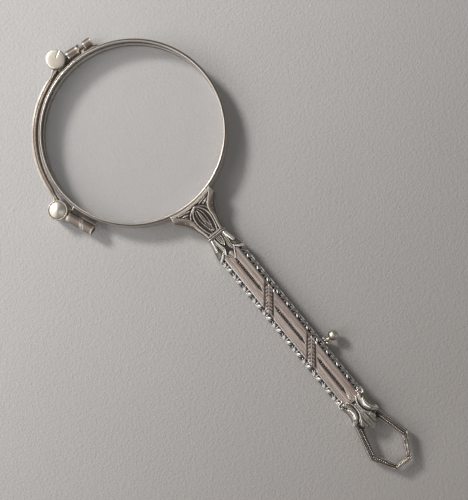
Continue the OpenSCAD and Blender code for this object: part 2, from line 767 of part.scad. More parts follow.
module release_knob() {
    color(silver) at_centre() translate([ball_x, knob_y, mid_z]) difference() {
        sphere(ball_radius);
        rotate([0, 90, 0]) translate([0, 0, -big - ball_radius * 0.6 + seat_gap])
            cylinder(r = stem_radius + seat_gap, h = big);
    }
}

module rod_guide(y) {
    length = 1.5;
    top = rod_top + wall;
    color(dark_silver) at_centre() difference() {
        intersection() {
            tube_bore(y + length, y, seat_gap);
            translate([-big / 2, y - 1, top - big]) cube([big, length + 2, big]);
        }
        translate([-rod_half - run_gap, y - 1, rod_low - run_gap])
            cube([2 * rod_half + 2 * run_gap, length + 2, rod_thick + 2 * run_gap]);
    }
}

module upper_rod_guide() rod_guide(tube_top - 6);
module lower_rod_guide() rod_guide(tube_top - knob_reach + 6);

module spring_anchor() {
    color(dark_silver) at_centre() difference() {
        tube_bore(anchor_y, anchor_y - anchor_length, seat_gap);
        translate([0, anchor_y + 1, mid_z]) rotate([90, 0, 0])
            cylinder(r = tail_radius + run_gap, h = anchor_length + 2);
    }
}

module return_spring() {
    coil_radius = tail_radius + return_wire + 0.2;
    color("steelblue") at_centre() translate([0, spring_top - move_gap / 2, mid_z]) rotate([90, 0, 0])
        coil(coil_radius, return_wire, return_curls, return_length - move_gap);
}

front_rim();
front_lens();
front_hinge_leaf();
front_hinge_spring();
rear_rim();
rear_lens();
rear_hinge_leaf();
rear_hinge_spring();
catch_lug();
bridge_bar();
front_boss();
rear_boss();
front_boss_cap();
rear_boss_cap();
front_boss_screw();
rear_boss_screw();
front_hinge_pin();
rear_hinge_pin();
front_end_knuckle();
rear_end_knuckle();
yoke_front();
yoke_back();
neck_band();
upper_collar();
handle_front();
handle_back();
lower_collar();
ribbon_loop();
upper_rod_guide();
lower_rod_guide();
spring_anchor();
return_spring();
release_rod();
catch_hook();
slider_block();
knob_stem();
knob_rosette();
release_knob();
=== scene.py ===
"""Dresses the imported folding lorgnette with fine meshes, aged silver and glass, in a plain studio."""

import logging
import math
from dataclasses import dataclass, field
from enum import Enum
from functools import partial
from typing import Callable, Optional, Sequence

import bmesh
import bpy
import numpy as np
from mathutils import Matrix, Vector
from mathutils.geometry import delaunay_2d_cdt


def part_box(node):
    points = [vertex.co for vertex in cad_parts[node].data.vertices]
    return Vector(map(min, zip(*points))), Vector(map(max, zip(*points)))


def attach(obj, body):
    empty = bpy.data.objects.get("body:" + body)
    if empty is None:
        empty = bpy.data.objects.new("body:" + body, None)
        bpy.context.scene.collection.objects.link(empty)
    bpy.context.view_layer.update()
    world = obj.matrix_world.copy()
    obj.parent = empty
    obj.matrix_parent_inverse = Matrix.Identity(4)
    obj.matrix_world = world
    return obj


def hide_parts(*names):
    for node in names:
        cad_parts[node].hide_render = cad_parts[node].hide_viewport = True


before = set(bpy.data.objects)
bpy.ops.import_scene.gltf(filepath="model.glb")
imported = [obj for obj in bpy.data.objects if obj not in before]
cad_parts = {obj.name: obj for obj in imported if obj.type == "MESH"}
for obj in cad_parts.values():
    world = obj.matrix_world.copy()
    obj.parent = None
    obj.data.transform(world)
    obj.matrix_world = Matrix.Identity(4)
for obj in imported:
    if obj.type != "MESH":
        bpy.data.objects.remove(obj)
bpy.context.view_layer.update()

MM = 0.001
log = logging.getLogger("lorgnette")

# Heights over the floor, in millimetres: the seam between the halves, and the front rim's face.
MID_Z = 2.4
FRONT_Z = 4.8

# Sizes that several pieces share, in millimetres from the lens centre.
RIM_RADIUS = 19.1
RIM_INNER = 18.5
NECK_END = -27.2
TUBE_TOP = -30.8
TUBE_END = -69.4
TUBE_FACE = 1.95
KNOB_Y = -57.1

# The channel of the rod and the hook: half its width, and its depth before and behind the seam.
CHANNEL_HALF = 0.85
ROD_CHANNEL = 0.45
HOOK_CHANNEL = 1.05

Array = np.ndarray
Socket = bpy.types.NodeSocket
Point = tuple[float, float]
Path = Sequence[Point]
Tone = float | Array
Input = float | Socket


class Body(Enum):
    """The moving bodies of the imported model."""

    ROOT = "root"
    BRIDGE = "bridge"
    REAR_FRAME = "rear_frame"
    RELEASE = "release"


class Slot(Enum):
    """The record's material slots."""

    POLISHED = "polished_silver"
    AGED = "aged_silver"
    BRUSHED = "brushed_silver"
    DARK = "dark_silver"
    GLASS = "lens_glass"
    SPRING = "spring_steel"


def new_object(name: str, data: bpy.types.ID) -> bpy.types.Object:
    """Makes an object and puts it into the scene."""
    made = bpy.data.objects.new(name, data)
    bpy.context.scene.collection.objects.link(made)
    return made


# Plane curves


def bezier(controls: Path, steps: int = 12) -> Array:
    """Samples a Bezier curve of any degree.

    Args:
        controls: The control points.
        steps: The number of pieces.

    Returns:
        An array of steps + 1 points.
    """
    t = np.linspace(0, 1, steps + 1)[:, None]
    points = [np.asarray(c, float)[None, :] * np.ones_like(t) for c in controls]
    while len(points) > 1:
        points = [a * (1 - t) + b * t for a, b in zip(points[:-1], points[1:])]
    return points[0]


def flowing(points: Path) -> Array:
    """Draws a smooth line through the given points.

    Args:
        points: The points that the line passes through.

    Returns:
        The points of the line.
    """
    steps = 6
    p = np.asarray(points, float)
    padded = np.vstack([2 * p[0] - p[1], p, 2 * p[-1] - p[-2]])
    out = []
    for a, b, c, d in zip(padded[:-3], padded[1:-2], padded[2:-1], padded[3:]):
        for t in np.arange(steps) / steps:
            square = (2 * a - 5 * b + 4 * c - d) * t**2
            cube = (3 * b - a - 3 * c + d) * t**3
            out.append(0.5 * (2 * b + (c - a) * t + square + cube))
    return np.vstack(out + [p[-1]])


def mirrored(points: Path) -> Array:
    """Returns the points on the other side of the long axis."""
    return np.asarray(points, float) * np.array([-1.0, 1.0])


def stroke(points: Path, flip: bool) -> Array:
    """Draws a smooth line through right-hand points, on the left side where it is flipped."""
    line = flowing(points)
    return mirrored(line) if flip else line


def both_sides(half: Path) -> Array:
    """Closes a right-hand half outline, from one end of the axis to the other, with its mirror image."""
    right = np.asarray(half, float)
    left = mirrored(right[::-1])
    return np.vstack([right, left[np.abs(left[:, 0]) > 1e-6]])


def arc(centre: Point, radius: float, start: float, end: float, steps: int) -> Array:
    """Samples a circular arc.

    Args:
        centre: The middle of the circle.
        radius: The radius.
        start: The first angle in degrees.
        end: The last angle in degrees.
        steps: The number of pieces.

    Returns:
        An array of steps + 1 points.
    """
    angles = np.radians(np.linspace(start, end, steps + 1))
    return np.stack([centre[0] + radius * np.cos(angles), centre[1] + radius * np.sin(angles)], 1)


def rounded(corners: Sequence[tuple[float, float, float]], closed: bool = True, steps: int = 4) -> Array:
    """Rounds the corners of a polygon.

    Args:
        corners: The corners as x, y and corner radius.
        closed: Whether the last corner joins the first.
        steps: The pieces in each rounded corner.

    Returns:
        The points of the rounded outline.
    """
    count = len(corners)
    out: list[Array] = []
    for i, (x, y, radius) in enumerate(corners):
        here = np.array([x, y])
        if radius <= 0 or (not closed and i in (0, count - 1)):
            out.append(here)
            continue
        before = np.array(corners[i - 1][:2]) - here
        after = np.array(corners[(i + 1) % count][:2]) - here
        before = before / np.linalg.norm(before)
        after = after / np.linalg.norm(after)
        half = math.acos(float(np.clip(before @ after, -1, 1))) / 2
        cut = radius / math.tan(half)
        out.extend(bezier([here + before * cut, here, here + after * cut], steps))
    return np.array(out)


def resampled(loop: Array, spacing: float) -> Array:
    """Splits the sides of a closed loop so that none is longer than the spacing."""
    out = []
    for a, b in zip(loop, np.roll(loop, -1, axis=0)):
        pieces = max(1, math.ceil(np.linalg.norm(b - a) / spacing))
        out.append(a + (b - a) * (np.arange(pieces) / pieces)[:, None])
    return np.vstack(out)


def inside(points: Array, loops: Sequence[Array]) -> Array:
    """Tells which points lie inside the loops, counting holes."""
    odd = np.zeros(len(points), bool)
    x, y = points[:, 0], points[:, 1]
    for loop in loops:
        for (ax, ay), (bx, by) in zip(loop, np.roll(loop, -1, axis=0)):
            if ay == by:
                continue
            crosses = (ay > y) != (by > y)
            odd ^= crosses & (x < (bx - ax) * (y - ay) / (by - ay) + ax)
    return odd


def distance_along(x: Array, y: Array, path: Array) -> tuple[Array, Array]:
    """Measures points against a line.

    Args:
        x: The points' x values.
        y: The points' y values.
        path: The line's points.

    Returns:
        The distance to the line, and how far along it the nearest place is, from 0 to 1.
    """
    best = np.full(x.shape, np.inf)
    along = np.zeros(x.shape)
    lengths = np.linalg.norm(np.diff(path, axis=0), axis=1)
    total = max(lengths.sum(), 1e-9)
    start = 0.0
    for (ax, ay), (bx, by), length in zip(path[:-1], path[1:], lengths):
        if length < 1e-9:
            continue
        t = np.clip(((x - ax) * (bx - ax) + (y - ay) * (by - ay)) / length**2, 0, 1)
        d = np.hypot(x - ax - t * (bx - ax), y - ay - t * (by - ay))
        closer = d < best
        best = np.where(closer, d, best)
        along = np.where(closer, (start + t * length) / total, along)
        start += length
    return best, along


def smoothstep(value: Array, low: float, high: float) -> Array:
    """Turns softly from 0 at low to 1 at high."""
    t = np.clip((value - low) / (high - low), 0, 1)
    return t * t * (3 - 2 * t)


@dataclass
class Relief:
    """Height over a plan's points, raised from its ground and cut by an engraver's strokes."""

    x: Array
    y: Array
    ground: float = 0.0

    def __post_init__(self) -> None:
        """Starts with a smooth, clean surface."""
        self.over = np.zeros_like(self.x)
        # Painted shade where positive and painted highlights where negative, laid along lines.
        self.shade_and_sheen = np.zeros_like(self.x)

    def _near(self, path: Array, reach: float) -> Array:
        """Returns the indices of the plan points within reach of the path's box."""
        place = np.stack([self.x, self.y], 1)
        return np.nonzero(((place > path.min(0) - reach) & (place < path.max(0) + reach)).all(1))[0]

    def _span(self, path: Path, half: float, ends: Point) -> tuple[Array, Array]:
        """Finds the points near a stroke, and how far across the stroke each lies: 1 at its side."""
        line = np.asarray(path, float)
        near = self._near(line, half * max(ends))
        distance, along = distance_along(self.x[near], self.y[near], line)
        return near, distance / np.maximum(half * (ends[0] + (ends[1] - ends[0]) * along), 1e-6)

    def _raise(self, near: Array, height: Array, shape: Array) -> None:
        """Lifts points to a height where the stroke's shape stands over the ground."""
        self.over[near] = np.where(shape > 0, np.maximum(self.over[near], height), self.over[near])

    def sink(self, loop: Path, depth: float, soft: float = 0.12) -> None:
        """Lowers the ground inside a loop, with a soft edge."""
        edge = np.asarray(loop, float)
        near = self._near(edge, 0.0)
        x, y = self.x[near], self.y[near]
        within = inside(np.stack([x, y], 1), [edge])
        distance, _ = distance_along(x, y, np.vstack([edge, edge[:1]]))
        self.over[near] -= np.where(within, depth * smoothstep(distance, 0, soft), 0)

    def rib(self, path: Path, half: float, top: float, ends: Point = (1.0, 1.0),
            power: float = 0.8) -> None:
        """Raises a ridge from the ground along a line.

        Args:
            path: The ridge's line.
            half: Half of the ridge's width.
            top: The height of the ridge's crest.
            ends: The share of the width at the line's start and end.
            power: How full the ridge's section is.
        """
        near, across = self._span(path, half, ends)
        shape = np.clip(1 - across**2, 0, 1) ** power
        self._raise(near, self.ground + (top - self.ground) * shape, shape)

    def groove(self, path: Path, half: float, depth: float, ends: Point = (1.0, 1.0)) -> None:
        """Cuts a rounded line."""
        near, across = self._span(path, half, ends)
        self.over[near] -= depth * np.clip(1 - across**2, 0, 1) ** 0.7

    def bead(self, at: Point, radius: float, top: float) -> None:
        """Raises a round bead."""
        self.rib([at, (at[0] + 1e-4, at[1])], radius, top)

    def leaf(self, root: Point, tip: Point, half: float, top: float, vein: float,
             bend: float = 0.0) -> None:
        """Raises a pointed leaf with a cut midrib.

        Args:
            root: The leaf's foot.
            tip: The leaf's point.
            half: Half of the leaf's greatest width.
            top: The height of the leaf.
            vein: The depth of its midrib.
            bend: How far the leaf's middle bows sideways.
        """
        a, b = np.array(root, float), np.array(tip, float)
        length = float(np.linalg.norm(b - a))
        axis = (b - a) / length
        near = self._near(np.stack([a, b]), half + abs(bend))
        dx, dy = self.x[near] - a[0], self.y[near] - a[1]
        along = (dx * axis[0] + dy * axis[1]) / length
        inner = (along > 0) & (along < 1)
        s = np.clip(along, 1e-4, 1 - 1e-4)
        across = dx * axis[1] - dy * axis[0] - bend * 4 * s * (1 - s)
        width = half * np.sin(np.pi * s**0.8) ** 0.8
        share = np.abs(across) / np.maximum(width, 1e-6)
        shape = np.where(inner & (share < 1), np.clip(1 - share**2, 0, 1) ** 0.45, 0)
        midrib = np.exp(-((across / (0.14 * half + 0.015)) ** 2)) * (shape > 0)
        self._raise(near, self.ground + (top - self.ground) * shape - vein * midrib, shape)

    def shade_or_sheen(self, path: Path, half: float, amount: float) -> None:
        """Adds darker patina along a line as painted shade, or bares the metal there as a painted highlight
        where the amount is negative.
        """
        line = np.asarray(path, float)
        distance, _ = distance_along(self.x, self.y, line)
        self.shade_and_sheen += amount * np.exp(-((distance / half) ** 2))

    def shade(self, clean: float = -0.03, depth: float = 0.14, crest: float = 0.02) -> Array:
        """Gives each point's patina: 1 on sunk ground, and -1 on crests that are rubbed bare, with the
        painted shade and painted highlights added.
        """
        level = np.clip((clean - self.over) / depth, 0, 1) - np.clip((self.over - crest) / 0.08, 0, 1)
        return np.clip(level + self.shade_and_sheen, -1, 1)


class Plan:
    """A flat shape cut into small triangles that keep its outline."""

    def __init__(self, outline: Path, holes: Sequence[Path] = (), spacing: float = 0.09,
                 extra: Optional[Array] = None) -> None:
        """Cuts the shape.

        Args:
            outline: The outer loop.
            holes: The loops of its holes.
            spacing: The distance between neighbouring points.
            extra: Further points to keep inside the shape.
        """
        self.edges = [resampled(np.asarray(loop, float), spacing) for loop in (outline, *holes)]
        rings = (0.035, 0.09)
        rows = [self._offset(loop, step) for loop in self.edges for step in rings]
        low, high = self.edges[0].min(0), self.edges[0].max(0)
        across = np.arange(low[0], high[0], spacing)
        down = np.arange(low[1], high[1], spacing * 0.87)
        grid = np.stack(np.meshgrid(across, down), -1)
        grid[1::2, :, 0] += spacing / 2
        grid = grid.reshape(-1, 2)
        grid = grid[inside(grid, self.edges)]
        grid = grid[self._edge_distance(grid) > max(rings) + spacing * 0.5]
        parts = [*self.edges, *rows, grid] + ([] if extra is None else [extra[inside(extra, self.edges)]])
        points = np.vstack(parts)
        ends = np.cumsum([len(loop) for loop in self.edges]).tolist()
        spans = [range(end - len(loop), end) for end, loop in zip(ends, self.edges)]
        links = [(i, span[i + 1 - span[0] - len(span)]) for span in spans for i in span]
        cut = delaunay_2d_cdt([Vector(p) for p in points], links, [], 0, 1e-6, True)
        found, _, faces, sources = cut[:4]
        self.points = np.array([tuple(v) for v in found])
        triangles = np.array([f for f in faces if len(f) == 3])
        middles = self.points[triangles].mean(1)
        self.triangles = triangles[inside(middles, self.edges)]
        place = {source: i for i, group in enumerate(sources) for source in group}
        self.loops = [np.array([place[i] for i in span]) for span in spans]
        self.depth = self._edge_distance(self.points)
        for ring in self.loops:
            self.depth[ring] = 0.0

    def _edge_distance(self, points: Array) -> Array:
        """Measures how far points are from the nearest edge."""
        found = np.full(len(points), np.inf)
        for loop in self.edges:
            distance, _ = distance_along(points[:, 0], points[:, 1], np.vstack([loop, loop[:1]]))
            found = np.minimum(found, distance)
        return found

    def _offset(self, loop: Array, step: float) -> Array:
        """Returns a loop's points moved into the shape, without those that come too near another edge."""
        ahead = np.roll(loop, -1, axis=0) - np.roll(loop, 1, axis=0)
        ahead /= np.maximum(np.linalg.norm(ahead, axis=1), 1e-9)[:, None]
        normal = np.stack([-ahead[:, 1], ahead[:, 0]], 1)
        moved = np.vstack([loop + normal * step, loop - normal * step])
        moved = moved[inside(moved, self.edges)]
        return moved[self._edge_distance(moved) > step * 0.85]

    @property
    def x(self) -> Array:
        """The points' x values."""
        return self.points[:, 0]

    @property
    def y(self) -> Array:
        """The points' y values."""
        return self.points[:, 1]

    def softened(self, height: Array) -> Array:
        """Evens out a height field between neighbouring points."""
        a, b = self.triangles.ravel(), np.roll(self.triangles, 1, axis=1).ravel()
        count = len(height)
        degree = np.maximum(np.bincount(a, minlength=count) + np.bincount(b, minlength=count), 1)
        total = np.bincount(a, height[b], count) + np.bincount(b, height[a], count)
        return 0.45 * height + 0.55 * total / degree

    def edge_drop(self, radius: float) -> Array:
        """Gives how far a rounded edge of this radius drops at each point."""
        reach = np.clip(radius - self.depth, 0, radius)
        return radius - np.sqrt(radius**2 - reach**2)


@dataclass
class Solid:
    """Collects the faces of one closed piece, in millimetres from the lens centre."""

    points: list[Array] = field(default_factory=list)
    shades: list[Array] = field(default_factory=list)
    faces: list[Sequence[int]] = field(default_factory=list)
    count: int = 0

    def add(self, points: Array, faces: Sequence[Sequence[int]], shade: Tone) -> None:
        """Adds points and the faces between them.

        Args:
            points: The points, one row each.
            faces: The faces, as indices into these points.
            shade: The patina on each point, with any painted shade or painted highlight, or one value for
                all.
        """
        start = self.count
        self.points.append(points)
        self.shades.append(np.broadcast_to(np.asarray(shade, float), (len(points),)))
        self.faces.extend([start + i for i in face] for face in faces)
        self.count += len(points)

    def grid(self, surface: Array, shade: Tone = 0.0,
             wrap: tuple[bool, bool] = (False, False), caps: bool = False) -> "Solid":
        """Adds a sheet of quads.

        Args:
            surface: The points by row and column.
            shade: The patina on each point, with any painted shade or painted highlight, or one value for
                all.
            wrap: Whether the last row joins the first, and the last column the first.
            caps: Whether the first and last rows are closed with flat faces.

        Returns:
            This solid.
        """
        rows, columns = surface.shape[:2]
        r = np.arange(rows if wrap[0] else rows - 1)
        c = np.arange(columns if wrap[1] else columns - 1)
        a = (r[:, None] * columns + c[None, :]).ravel()
        b = (r[:, None] * columns + (c[None, :] + 1) % columns).ravel()
        down = (r[:, None] + 1) % rows * columns
        e = (down + (c[None, :] + 1) % columns).ravel()
        f = (down + c[None, :]).ravel()
        faces = np.stack([a, b, e, f], 1).tolist()
        if caps:
            faces.append(list(range(columns)))
            faces.append(list(range((rows - 1) * columns, rows * columns)))
        values = shade if np.isscalar(shade) else np.asarray(shade).reshape(-1)
        self.add(surface.reshape(-1, 3), faces, values)
        return self

    def plate(self, plan: Plan, top: Array, bottom: Array, shade: Tone = 0.0,
              back_shade: float = 0.35) -> "Solid":
        """Adds a closed plate between two heights over one plan.

        Args:
            plan: The plate's cut shape.
            top: The upper height at each plan point.
            bottom: The lower height at each plan point.
            shade: The patina on the upper face, with any painted shade or painted highlight.
            back_shade: The patina on the lower face, with any painted shade.

        Returns:
            This solid.
        """
        count = len(plan.points)
        upper = np.column_stack([plan.points, top])
        lower = np.column_stack([plan.points, bottom])
        faces = plan.triangles.tolist() + (plan.triangles[:, ::-1] + count).tolist()
        for loop in plan.loops:
            ahead = np.roll(loop, -1)
            faces.extend(np.stack([loop, ahead, ahead + count, loop + count], 1).tolist())
        shades = np.concatenate([np.broadcast_to(shade, (count,)), np.full(count, back_shade)])
        self.add(np.vstack([upper, lower]), faces, shades)
        return self

    def lathe(self, profile: Array, centre: Sequence[float] = (0, 0, 0), steps: int = 64,
              axis: str = "z", closed: bool = False, shade: Tone = 0.0) -> "Solid":
        """Turns a profile about an axis.

        Args:
            profile: The profile as radius and height along the axis.
            centre: The point that heights are counted from.
            steps: The facets round the axis.
            axis: Which axis the piece turns about, x or z.
            closed: Whether the profile's last point joins its first.
            shade: The patina at each profile point.

        Returns:
            This solid.
        """
        angles = np.linspace(0, 2 * np.pi, steps, endpoint=False)
        around = np.stack([np.cos(angles), np.sin(angles)], 1)
        radius, along = profile[:, 0], profile[:, 1]
        ring = radius[:, None, None] * around[None]
        height = np.broadcast_to(along[:, None, None], (len(profile), steps, 1))
        order = {"x": [2, 0, 1], "z": [0, 1, 2]}[axis]
        surface = np.concatenate([ring, height], 2)[:, :, order] + np.asarray(centre, float)
        tone = np.broadcast_to(np.asarray(shade, float), (len(profile),))
        self.grid(surface, np.repeat(tone, steps), wrap=(closed, True))
        return self

    def moved(self, change: Callable[[Array], Array]) -> "Solid":
        """Moves every point of the solid through a function."""
        self.points = [change(p) for p in self.points]
        return self

    def build(self, name: str, origin: Array, crease: float = 38.0,
              spread: float = 0.05) -> bpy.types.Object:
        """Makes the Blender object.

        Args:
            name: The piece's name.
            origin: The lens centre in the frame, in millimetres.
            crease: The angle in degrees above which an edge stays sharp.
            spread: The bulge in millimetres that counts as fully worn or fully hollow.

        Returns:
            The new mesh object.
        """
        points = (np.vstack(self.points) + origin) * MM
        mesh = bpy.data.meshes.new(name)
        mesh.from_pydata(points.tolist(), [], self.faces)
        tone = mesh.attributes.new("hollow", "FLOAT", "POINT")
        tone.data.foreach_set("value", np.concatenate(self.shades).astype(np.float32))
        work = bmesh.new()
        work.from_mesh(mesh)
        bmesh.ops.remove_doubles(work, verts=work.verts, dist=2e-7)
        bmesh.ops.dissolve_degenerate(work, edges=work.edges, dist=1e-8)
        bmesh.ops.recalc_face_normals(work, faces=work.faces)
        work.to_mesh(mesh)
        work.free()
        mesh.shade_smooth()
        mesh.set_sharp_from_angle(angle=math.radians(crease))
        self._wear(mesh, spread)
        return new_object(name, mesh)

    @staticmethod
    def _wear(mesh: bpy.types.Mesh, spread: float) -> None:
        """Writes how hollow and how worn each point is, from the shape round it and from the piece's shade
        values, which also hold painted shade and painted highlights.
        """
        count = len(mesh.vertices)
        place = np.zeros(count * 3)
        mesh.vertices.foreach_get("co", place)
        place = place.reshape(-1, 3) / MM
        normal = np.zeros(count * 3)
        mesh.vertices.foreach_get("normal", normal)
        normal = normal.reshape(-1, 3)
        ends = np.zeros(len(mesh.edges) * 2, int)
        mesh.edges.foreach_get("vertices", ends)
        a, b = ends.reshape(-1, 2).T
        degree = np.maximum(np.bincount(a, minlength=count) + np.bincount(b, minlength=count), 1)
        mean = place.copy()
        smoothings = 4
        for _ in range(smoothings):
            total = np.stack([np.bincount(a, mean[b, k], count) + np.bincount(b, mean[a, k], count)
                              for k in range(3)], 1)
            mean = 0.3 * mean + 0.7 * total / degree[:, None]
        lift = ((mean - place) * normal).sum(1) / spread
        tone = np.zeros(count)
        hollow = mesh.attributes["hollow"]
        hollow.data.foreach_get("value", tone)
        sunk = np.clip(np.maximum(tone, 0) + np.clip(lift, 0, 1), 0, 1)
        hollow.data.foreach_set("value", sunk.astype(np.float32))
        worn = mesh.attributes.new("worn", "FLOAT", "POINT")
        bare = np.clip(np.maximum(-lift - 0.1, 0) - np.minimum(tone, 0), 0, 1)
        worn.data.foreach_set("value", bare.astype(np.float32))


# Finishes


@dataclass
class Bench:
    """Places and links shader nodes in one node tree."""

    tree: bpy.types.NodeTree

    def node(self, kind: str, values: Optional[dict] = None, **settings: object) -> bpy.types.Node:
        """Adds a node.

        Args:
            kind: The node's type without its ShaderNode prefix.
            values: Input sockets by name or number, each with a value or a socket to link.
            settings: The node's own properties.

        Returns:
            The new node.
        """
        made = self.tree.nodes.new(kind if kind.startswith("Node") else "ShaderNode" + kind)
        for key, value in settings.items():
            setattr(made, key, value)
        for key, value in (values or {}).items():
            if isinstance(value, Socket):
                self.tree.links.new(value, made.inputs[key])
            else:
                made.inputs[key].default_value = value
        return made

    def math(self, operation: str, *values: Input, clamp: bool = False) -> Socket:
        """Adds a Math node and returns its result."""
        return self.node("Math", dict(enumerate(values)), operation=operation, use_clamp=clamp).outputs[0]

    def blend(self, share: Input, first: object, second: object) -> Socket:
        """Mixes two colours and returns the result."""
        return self.node("Mix", {0: share, 6: first, 7: second}, data_type="RGBA").outputs[2]

    def noise(self, place: Socket, scale: Input, detail: float, rough: float = 0.5,
              distortion: float = 0.0) -> Socket:
        """Adds a cloudy noise and returns its value."""
        values = {"Vector": place, "Scale": scale, "Detail": detail, "Roughness": rough,
                  "Distortion": distortion}
        return self.node("TexNoise", values).outputs[0]

    def ramp(self, value: Socket, low: float, high: float, bottom: float = 0.0, top: float = 1.0) -> Socket:
        """Maps a value from low to high onto bottom to top."""
        made = self.node("MapRange", {0: value, 1: low, 2: high, 3: bottom, 4: top},
                         interpolation_type="SMOOTHSTEP")
        return made.outputs[0]


def new_group(name: str, inputs: dict[str, object],
              outputs: dict[str, str]) -> tuple[Bench, Sequence[Socket], Socket]:
    """Makes an empty shader node group.

    Args:
        name: The group's name.
        inputs: The input names with their starting values.
        outputs: The output names with their socket types.

    Returns:
        A bench on the group's tree, the group's inputs, and the place on the object.
    """
    group = bpy.data.node_groups.new(name, "ShaderNodeTree")
    for label, value in inputs.items():
        kind = "NodeSocketFloat" if isinstance(value, float) else "NodeSocketColor"
        made = group.interface.new_socket(name=label, in_out="INPUT", socket_type=kind)
        made.default_value = value
    for label, kind in outputs.items():
        group.interface.new_socket(name=label, in_out="OUTPUT", socket_type=kind)
    bench = Bench(group)
    return bench, bench.node("NodeGroupInput").outputs, bench.node("TexCoord").outputs["Object"]


def new_material(name: str) -> tuple[bpy.types.Material, Bench]:
    """Makes an empty material and a bench to fill it on."""
    material = bpy.data.materials.new(name)
    material.use_nodes = True
    material.node_tree.nodes.clear()
    return material, Bench(material.node_tree)


class FinishGroups:
    """The node groups that more than one finish uses."""

    def __init__(self) -> None:
        """Builds the groups once."""
        self.patina = self._patina()
        self.scratches = self._scratches()
        self.grain = self._grain()

    @staticmethod
    def _patina() -> bpy.types.NodeTree:
        """Settles dark patina in the hollows and bares bright metal on the edges; the same attributes also
        carry the pieces' painted shade and painted highlights.
        """
        bench, given, place = new_group(
            "patina_wear_and_painted_light",
            {"Metal": (0.7, 0.7, 0.7, 1.0), "Tarnish": (0.1, 0.1, 0.1, 1.0), "Bare": (0.9, 0.9, 0.9, 1.0),
             "Amount": 1.0, "Blotches": 0.2, "Polish": 0.2, "Satin": 0.4, "Dull": 0.5},
            {"Colour": "NodeSocketColor", "Roughness": "NodeSocketFloat", "Dirt_and_shade": "NodeSocketFloat",
             "Rubbed_and_sheen": "NodeSocketFloat"})
        broad = bench.noise(place, 420.0, 5.0, 0.6)
        fine = bench.noise(place, 3600.0, 3.0, 0.65)
        # hollow also holds painted shade and worn also holds painted highlights, from the pieces' shade
        # values
        hollow = bench.node("Attribute", attribute_name="hollow").outputs["Fac"]
        worn = bench.node("Attribute", attribute_name="worn").outputs["Fac"]
        speck = bench.math("SUBTRACT", fine, 0.5)
        patch = bench.math("SUBTRACT", broad, 0.42)
        settled = bench.math("MULTIPLY", hollow, given["Amount"])
        settled = bench.math("MULTIPLY_ADD", speck, 0.35, settled)
        spread = bench.math("MULTIPLY", patch, given["Blotches"])
        dirt_and_shade = bench.math("ADD", settled, spread, clamp=True)
        rubbed = bench.ramp(bench.math("MULTIPLY_ADD", speck, 0.4, worn), 0.1, 0.7)
        dirt_and_shade = bench.math("MULTIPLY", dirt_and_shade, bench.math("SUBTRACT", 1.0,
                                                       bench.math("MULTIPLY", rubbed, 0.8)))
        colour = bench.blend(rubbed, given["Metal"], given["Bare"])
        colour = bench.blend(dirt_and_shade, colour, given["Tarnish"])
        rough = bench.node("Mix", {0: rubbed, 2: given["Satin"], 3: given["Polish"]},
                           data_type="FLOAT").outputs[0]
        rough = bench.node("Mix", {0: dirt_and_shade, 2: rough, 3: given["Dull"]}, data_type="FLOAT").outputs[0]
        rough = bench.math("MULTIPLY_ADD", speck, 0.12, rough)
        bench.node("NodeGroupOutput", {"Colour": colour, "Roughness": rough, "Dirt_and_shade": dirt_and_shade,
                                       "Rubbed_and_sheen": rubbed})
        return bench.tree

    @staticmethod
    def _scratches() -> bpy.types.NodeTree:
        """Draws fine handling scratches that cross at several angles."""
        bench, given, place = new_group("fine_scratches", {"Density": 1.0}, {"Height": "NodeSocketFloat"})
        total: Optional[Socket] = None
        for angle, scale in ((0.4, 2600.0), (1.5, 3400.0), (2.5, 3000.0)):
            turned = bench.node("Mapping", {0: place, "Rotation": (angle * 0.4, angle * 0.3, angle),
                                            "Scale": (scale, scale * 0.05, scale * 0.5)})
            lines = bench.noise(turned.outputs[0], given["Density"], 2.0)
            cut = bench.ramp(lines, 0.62, 0.72)
            total = cut if total is None else bench.math("MAXIMUM", total, cut)
        pits = bench.noise(place, 5200.0, 2.0)
        height = bench.math("SUBTRACT", bench.math("MULTIPLY", pits, 0.5), total)
        bench.node("NodeGroupOutput", {"Height": height})
        return bench.tree

    @staticmethod
    def _grain() -> bpy.types.NodeTree:
        """Draws the straight grain that brushing along the handle leaves."""
        bench, given, place = new_group("brushed_grain", {"Fineness": 1.0},
                                 {"Value": "NodeSocketFloat", "Height": "NodeSocketFloat"})
        stretched = bench.node("Mapping", {0: place, "Scale": (7500.0, 260.0, 7500.0)})
        streaks = bench.noise(stretched.outputs[0], given["Fineness"], 4.0, 0.7)
        wide = bench.node("Mapping", {0: place, "Scale": (2600.0, 45.0, 2600.0)})
        bands = bench.noise(wide.outputs[0], 1.0, 3.0)
        value = bench.math("MULTIPLY_ADD", bands, 0.4, bench.math("MULTIPLY", streaks, 0.6))
        bench.node("NodeGroupOutput", {"Value": value, "Height": streaks})
        return bench.tree


